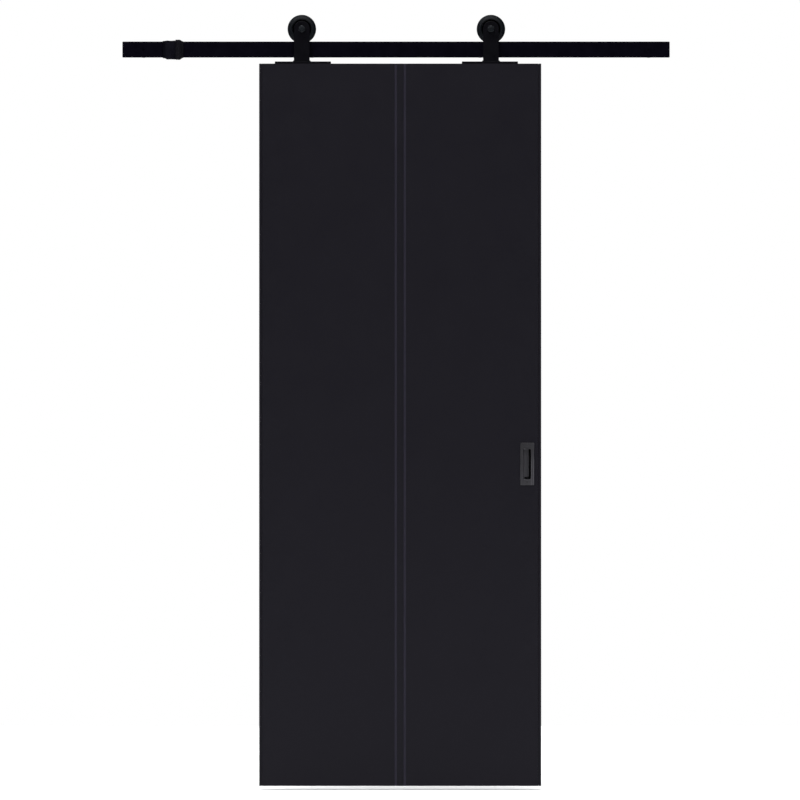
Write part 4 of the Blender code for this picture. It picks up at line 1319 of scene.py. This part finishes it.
def make_hangers(finishes):
    """Two hangers: strap, weld, base plate and screws, and what is fixed on the axle."""
    shared = list(hanger_shapes(middle("wheel_left")))
    plate, bead, insert = plate_mesh(), bead_mesh(), insert_mesh()
    screw = shifted(screw_head(*PLATE_SCREW), turn=TO_TOP)
    for side in SIDES:
        axle = middle(f"wheel_{side}")
        for name, finish, mesh, y in shared:
            stand_in(f"{name}_{side}", mesh, finishes[finish], (axle.x, y, axle.z))
        at = (axle.x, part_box(f"lock_nut_{side}")[0].y, axle.z)
        piece(f"nut_insert_{side}", insert, finishes["nylon"], "door", "bolt_black", at=at)
        node = f"base_plate_{side}"
        plate_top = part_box(node)[1].z
        stand_in(node, plate, finishes["hanger"], middle(node))
        at = (axle.x, 0, plate_top)
        piece(f"foot_weld_{side}", bead, finishes["hanger"], "door", "hanger_black", at=at)
        for number in PLATE_SCREWS:
            node = f"plate_screw_{side}_{number}"
            stand_in(node, screw, finishes["bolt"], (middle(node).x, 0, plate_top))


# ---------------------------------------------------------------- wheels

HUB_SHOULDER = 0.0135
HUB_RADIUS = 0.0195
RIM_INNER = 0.0272
RIM_CREST = 0.0308
RIM_BEAD = 0.0346
RIM_GENTLE_DROP = 0.0007
RIM_BEAD_HALF = 0.0006
RIM_BEAD_HEIGHT = 0.0004
RIM_BEAD_SOFT = 0.00025
RIM_INNER_DROP = 1.4 * RIM_GENTLE_DROP
TREAD_RADIUS = 0.0359
TREAD_HALF = 0.0037
TREAD_MOUTH_HALF = 0.0052
WEB_HALF = 0.0045
HUB_SET_BACK = 0.0004
WHEEL_SOFT = 0.0012
RING_GROOVE = 0.0006
RING_GROOVE_WIDTH = 0.0021
BEARING_OUTER = 0.015
BEARING_RACE = 0.0122
BEARING_INNER_RACE = 0.008
BALL_COUNT = 8


def rim_face(face, flange):
    """Sloping side face of the rim, from its inner edge to the flange's edge: a gentle cone, a
    fine turned bead, a steeper cone."""
    base = -face + RIM_GENTLE_DROP
    crown = base - RIM_BEAD_HEIGHT / 2
    foot = base + RIM_BEAD_HEIGHT / 2
    return [
        (RIM_INNER, -face + RIM_INNER_DROP, WHEEL_SOFT),
        (RIM_CREST, -face, WHEEL_SOFT),
        (RIM_BEAD - RIM_BEAD_HALF, base, RIM_BEAD_SOFT),
        (RIM_BEAD - RIM_BEAD_HALF / 2, crown, RIM_BEAD_SOFT),
        (RIM_BEAD + RIM_BEAD_HALF / 2, crown, RIM_BEAD_SOFT),
        (RIM_BEAD + RIM_BEAD_HALF, foot, RIM_BEAD_SOFT),
        (flange - WHEEL_SOFT / 2, -TREAD_MOUTH_HALF - WHEEL_SOFT * 0.7, WHEEL_SOFT),
        (flange, -TREAD_MOUTH_HALF, WHEEL_SOFT / 2),
    ]


def wheel_profile(face, flange):
    """Half section of the wheel about Y, between its bore and its flanges."""
    half_bearing = size("bearing_outer_ring_left").y / 2
    seat = BEARING_OUTER + GAP
    groove = seat + RING_GROOVE
    groove_low = -half_bearing - RING_GROOVE_WIDTH
    hub_face = face - HUB_SET_BACK
    outer = [
        (HUB_RADIUS, -hub_face, WHEEL_SOFT),
        (HUB_RADIUS, -WEB_HALF, WHEEL_SOFT),
        (RIM_INNER, -WEB_HALF, WHEEL_SOFT),
        *rim_face(face, flange),
        (TREAD_RADIUS, -TREAD_HALF, WHEEL_SOFT / 2),
    ]
    bore = [
        (HUB_SHOULDER, hub_face, WHEEL_SOFT / 2),
        (HUB_SHOULDER, half_bearing + GAP, 0),
        (seat, half_bearing + GAP, 0),
        (seat, -half_bearing, 0),
        (groove, -half_bearing, 0),
        (groove, groove_low, 0),
        (seat, groove_low, 0),
        (seat, -hub_face, WHEEL_SOFT / 2),
    ]
    mirror = [(radius, -height, soft) for radius, height, soft in reversed(outer)]
    return bore + outer + mirror


def wheel_mesh():
    """Grooved wheel with a crowned rim, a recessed web and a bearing seat."""
    extent = size("wheel_left")
    return lathe(rounded(wheel_profile(extent.y / 2, extent.x / 2)), SEGMENTS * 2)


SEAL_SOFT = 0.0003
SEAL_RIM_SOFT = 0.0002
SEAL_BORE_SOFT = 0.0001
SEAL_LIP = 0.0006
SEAL_GROOVE = (0.0012, 0.0014)
SEAL_GROOVE_SHARE = 0.55
SEAL_RIM_SHARE = 0.75
SEAL_BORE_SHARE = 0.8


def seal_mesh():
    """Bearing seal about Y: a ring with a moulded groove and a raised lip."""
    extent = size("bearing_seal_left")
    inner, outer, high = BEARING_INNER_RACE + GAP, extent.x / 2, extent.y
    groove = high * SEAL_GROOVE_SHARE
    groove_inner, groove_outer = inner + SEAL_GROOVE[0], outer - SEAL_GROOVE[1]
    corners = [
        (inner, 0, 0),
        (outer, 0, 0),
        (outer, high * SEAL_RIM_SHARE, SEAL_RIM_SOFT),
        (outer - SEAL_LIP, high, SEAL_SOFT),
        (groove_outer, groove, SEAL_SOFT),
        (groove_inner, groove, SEAL_SOFT),
        (inner + SEAL_LIP, high, SEAL_SOFT),
        (inner, high * SEAL_BORE_SHARE, SEAL_BORE_SOFT),
    ]
    return lathe(rounded(corners, EDGE_STEPS))


RING_OPENING = math.radians(17)
RING_STEPS = 64
RING_INNER = 0.0133
LUG_REACH = 0.0124
LUG_RADIUS = 0.0016
LUG_TURN = math.radians(6)
EYE_SHARE = 0.45


def retaining_ring_mesh():
    """Open spring ring with a lug and an eye at each end, about Y from Y = 0."""
    radius, width = size("retaining_ring_left").x / 2, size("retaining_ring_left").y
    sweep = 2 * math.pi - 2 * RING_OPENING
    start = math.pi / 2 + RING_OPENING
    angles = [start + sweep * step / RING_STEPS for step in range(RING_STEPS + 1)]
    outer = [(radius * math.cos(a), radius * math.sin(a)) for a in angles]
    inner = [(RING_INNER * math.cos(a), RING_INNER * math.sin(a)) for a in reversed(angles)]
    lugs, eyes = [], []
    for side in (-1, 1):
        angle = math.pi / 2 + side * (RING_OPENING + LUG_TURN)
        x, z = LUG_REACH * math.cos(angle), LUG_REACH * math.sin(angle)
        lugs.append(shifted(disc(LUG_RADIUS, 0, width), x=x, z=z))
        eyes.append(shifted(disc(LUG_RADIUS * EYE_SHARE, -width, 2 * width), x=x, z=z))
    return baked(extruded(outer + inner, 0, width, "Y"), add=lugs, cut=eyes)


# Middle of the balls' ring, and the cage: its half width and its two faces.
BALL_PITCH = (BEARING_INNER_RACE + BEARING_RACE) / 2
CAGE_HALF = 0.0011
CAGE_LOW = -0.0022
CAGE_HIGH = -0.0016


def balls_mesh():
    """Balls of the bearing, in one ring about Y."""
    bm = bmesh.new()
    radius = (BEARING_RACE - BEARING_INNER_RACE) / 2 - GAP
    for i in range(BALL_COUNT):
        angle = 2 * math.pi * i / BALL_COUNT
        centre = (BALL_PITCH * math.cos(angle), 0, BALL_PITCH * math.sin(angle))
        place = Matrix.Translation(centre)
        bmesh.ops.create_icosphere(bm, subdivisions=3, radius=radius, matrix=place)
    return mesh_of(bm)


def make_wheels(finishes):
    """Both wheels with the outer half of their bearings."""
    depth = size("bearing_outer_ring_left").y
    race = ring_mesh(BEARING_RACE, BEARING_OUTER, 0, depth, WASHER_EDGE)
    shared = (
        ("wheel", "wheel", wheel_mesh()),
        ("bearing_outer_ring", "bearing", race),
        ("bearing_seal", "seal", seal_mesh()),
        ("retaining_ring", "bearing", retaining_ring_mesh()),
    )
    balls = balls_mesh()
    soft = (CAGE_HIGH - CAGE_LOW) / 6
    cage = ring_mesh(BALL_PITCH - CAGE_HALF, BALL_PITCH + CAGE_HALF, CAGE_LOW, CAGE_HIGH, soft)
    for side in SIDES:
        axle = middle(f"wheel_{side}")
        for name, finish, mesh in shared:
            node = f"{name}_{side}"
            y = axle.y if name == "wheel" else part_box(node)[0].y
            stand_in(node, mesh, finishes[finish], (axle.x, y, axle.z))
        body = f"wheel_{side}"
        for name, mesh in (("balls", balls), ("cage", cage)):
            finish = finishes["bearing"]
            piece(f"bearing_{name}_{side}", mesh, finish, body, "bearing_steel", at=axle)


# ---------------------------------------------------------------- studio

FLOOR_GAP = 0.012
FLOOR_REACH = 5.0
CAMERA_DISTANCE = 25.8
PICTURE_SPAN = 2.3256
PICTURE_CENTRE = (0.0115, 1.122)
SENSOR = 36.0
FLOOR_WHITE = (0.95, 0.95, 0.95)
# Suns: the direction of each one's light, its strength and its angular size in degrees.
SUNS = {
    "key": ((0.45, 0.75, -0.75), 0.2, 50),
    "fill": ((0.85, 0.55, -0.25), 0.12, 60),
    "top": ((0.12, 0.2, -1.0), 3.9, 60),
    "back_left": ((0.6, -0.8, -0.4), 0.5, 60),
    "back_right": ((-0.6, -0.8, -0.4), 0.5, 60),
}
SOFTBOX_SIZE = (3.0, 1.2)
SOFTBOX_POWER = 24
SOFTBOX_PLACE = (-0.4, -1.7, 3.5)
# Light of the surroundings from the horizon up to the zenith.
SKY_LOW = (0.35, (0.02, 0.02, 0.021))
SKY_HIGH = (1.0, (0.8, 0.82, 0.85))


def make_floor():
    """Plain pale floor just under the leaf."""
    z = cad_box[0].z - FLOOR_GAP
    reach = FLOOR_REACH
    bm = bmesh.new()
    corners = ((-reach, -reach), (reach, -reach), (reach, reach), (-reach, reach))
    bm.faces.new([bm.verts.new((x, y, z)) for x, y in corners])
    mesh = bpy.data.meshes.new("floor")
    bm.to_mesh(mesh)
    bm.free()
    floor = bpy.data.objects.new("floor", mesh)
    bpy.context.scene.collection.objects.link(floor)
    made = Finish("pale_floor", 0.9, 0.0, 0.1)
    made.colour_by(made.noise(2, 2), (0.3, (0.93, 0.93, 0.93)), (0.7, FLOOR_WHITE))
    mesh.materials.append(made.material)
    floor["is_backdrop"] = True


def add_light(name, kind, toward, at=(0, 0, 0), **settings):
    """Light that shines along a direction."""
    light = bpy.data.lights.new(name, kind)
    for setting, value in settings.items():
        setattr(light, setting, value)
    made = bpy.data.objects.new(name, light)
    made.location = at
    made.rotation_mode = "QUATERNION"
    made.rotation_quaternion = Vector(toward).to_track_quat("-Z", "Y")
    bpy.context.scene.collection.objects.link(made)
    return light


def make_lights():
    """Soft studio light: wide suns, and a soft box in front of the top."""
    for name, (toward, strength, softness) in SUNS.items():
        add_light(name, "SUN", toward, energy=strength, angle=math.radians(softness))
    aim = Vector((0, 0, cad_box[1].z)) - Vector(SOFTBOX_PLACE)
    softbox = add_light("softbox", "AREA", aim, SOFTBOX_PLACE, energy=SOFTBOX_POWER)
    softbox.shape = "RECTANGLE"
    softbox.size, softbox.size_y = SOFTBOX_SIZE


def make_world():
    """White surroundings to look at; their light is bright overhead and dim at eye level."""
    world = bpy.data.worlds.new("studio")
    bpy.context.scene.world = world
    world.use_nodes = True
    tree = world.node_tree
    tree.nodes.clear()
    place = add_node(tree, "TexCoord").outputs["Generated"]
    height = add_node(tree, "SeparateXYZ", {0: place}).outputs["Z"]
    sky = add_ramp(tree, height, SKY_LOW, SKY_HIGH)
    glow = add_node(tree, "Background", {"Color": sky, "Strength": 1.0})
    seen = add_node(tree, "Background", {"Color": (1, 1, 1, 1), "Strength": 1.0})
    to_camera = add_node(tree, "LightPath").outputs["Is Camera Ray"]
    inputs = {0: to_camera, 1: glow.outputs[0], 2: seen.outputs[0]}
    shown = add_node(tree, "MixShader", inputs).outputs[0]
    add_node(tree, "OutputWorld", {"Surface": shown})


def make_camera():
    """Square-on camera with a long lens, framed on the leaf's face."""
    data = bpy.data.cameras.new("camera")
    data.sensor_width = SENSOR
    data.lens = SENSOR * CAMERA_DISTANCE / PICTURE_SPAN
    data.clip_end = 4 * CAMERA_DISTANCE
    camera = bpy.data.objects.new("camera", data)
    x, z = PICTURE_CENTRE
    camera.location = (x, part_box("front_skin")[0].y - CAMERA_DISTANCE, z)
    camera.rotation_euler = (math.pi / 2, 0, 0)
    bpy.context.scene.collection.objects.link(camera)
    bpy.context.scene.camera = camera


def make_studio():
    """Floor, lights, surroundings and camera, with colours shown as they are."""
    make_floor()
    make_lights()
    make_world()
    make_camera()
    bpy.context.scene.view_settings.view_transform = "Standard"


def write_sizes():
    """Put the frame's box and the visible model's box into plain lists."""
    boxes = {"cad": cad_box, "visual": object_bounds()}
    plain = {name: [list(low), list(high)] for name, (low, high) in boxes.items()}


finishes = make_finishes()
make_track(finishes)
make_stop(finishes)
make_leaf(finishes)
make_pulls(finishes)
make_hangers(finishes)
make_wheels(finishes)
make_studio()
write_sizes()
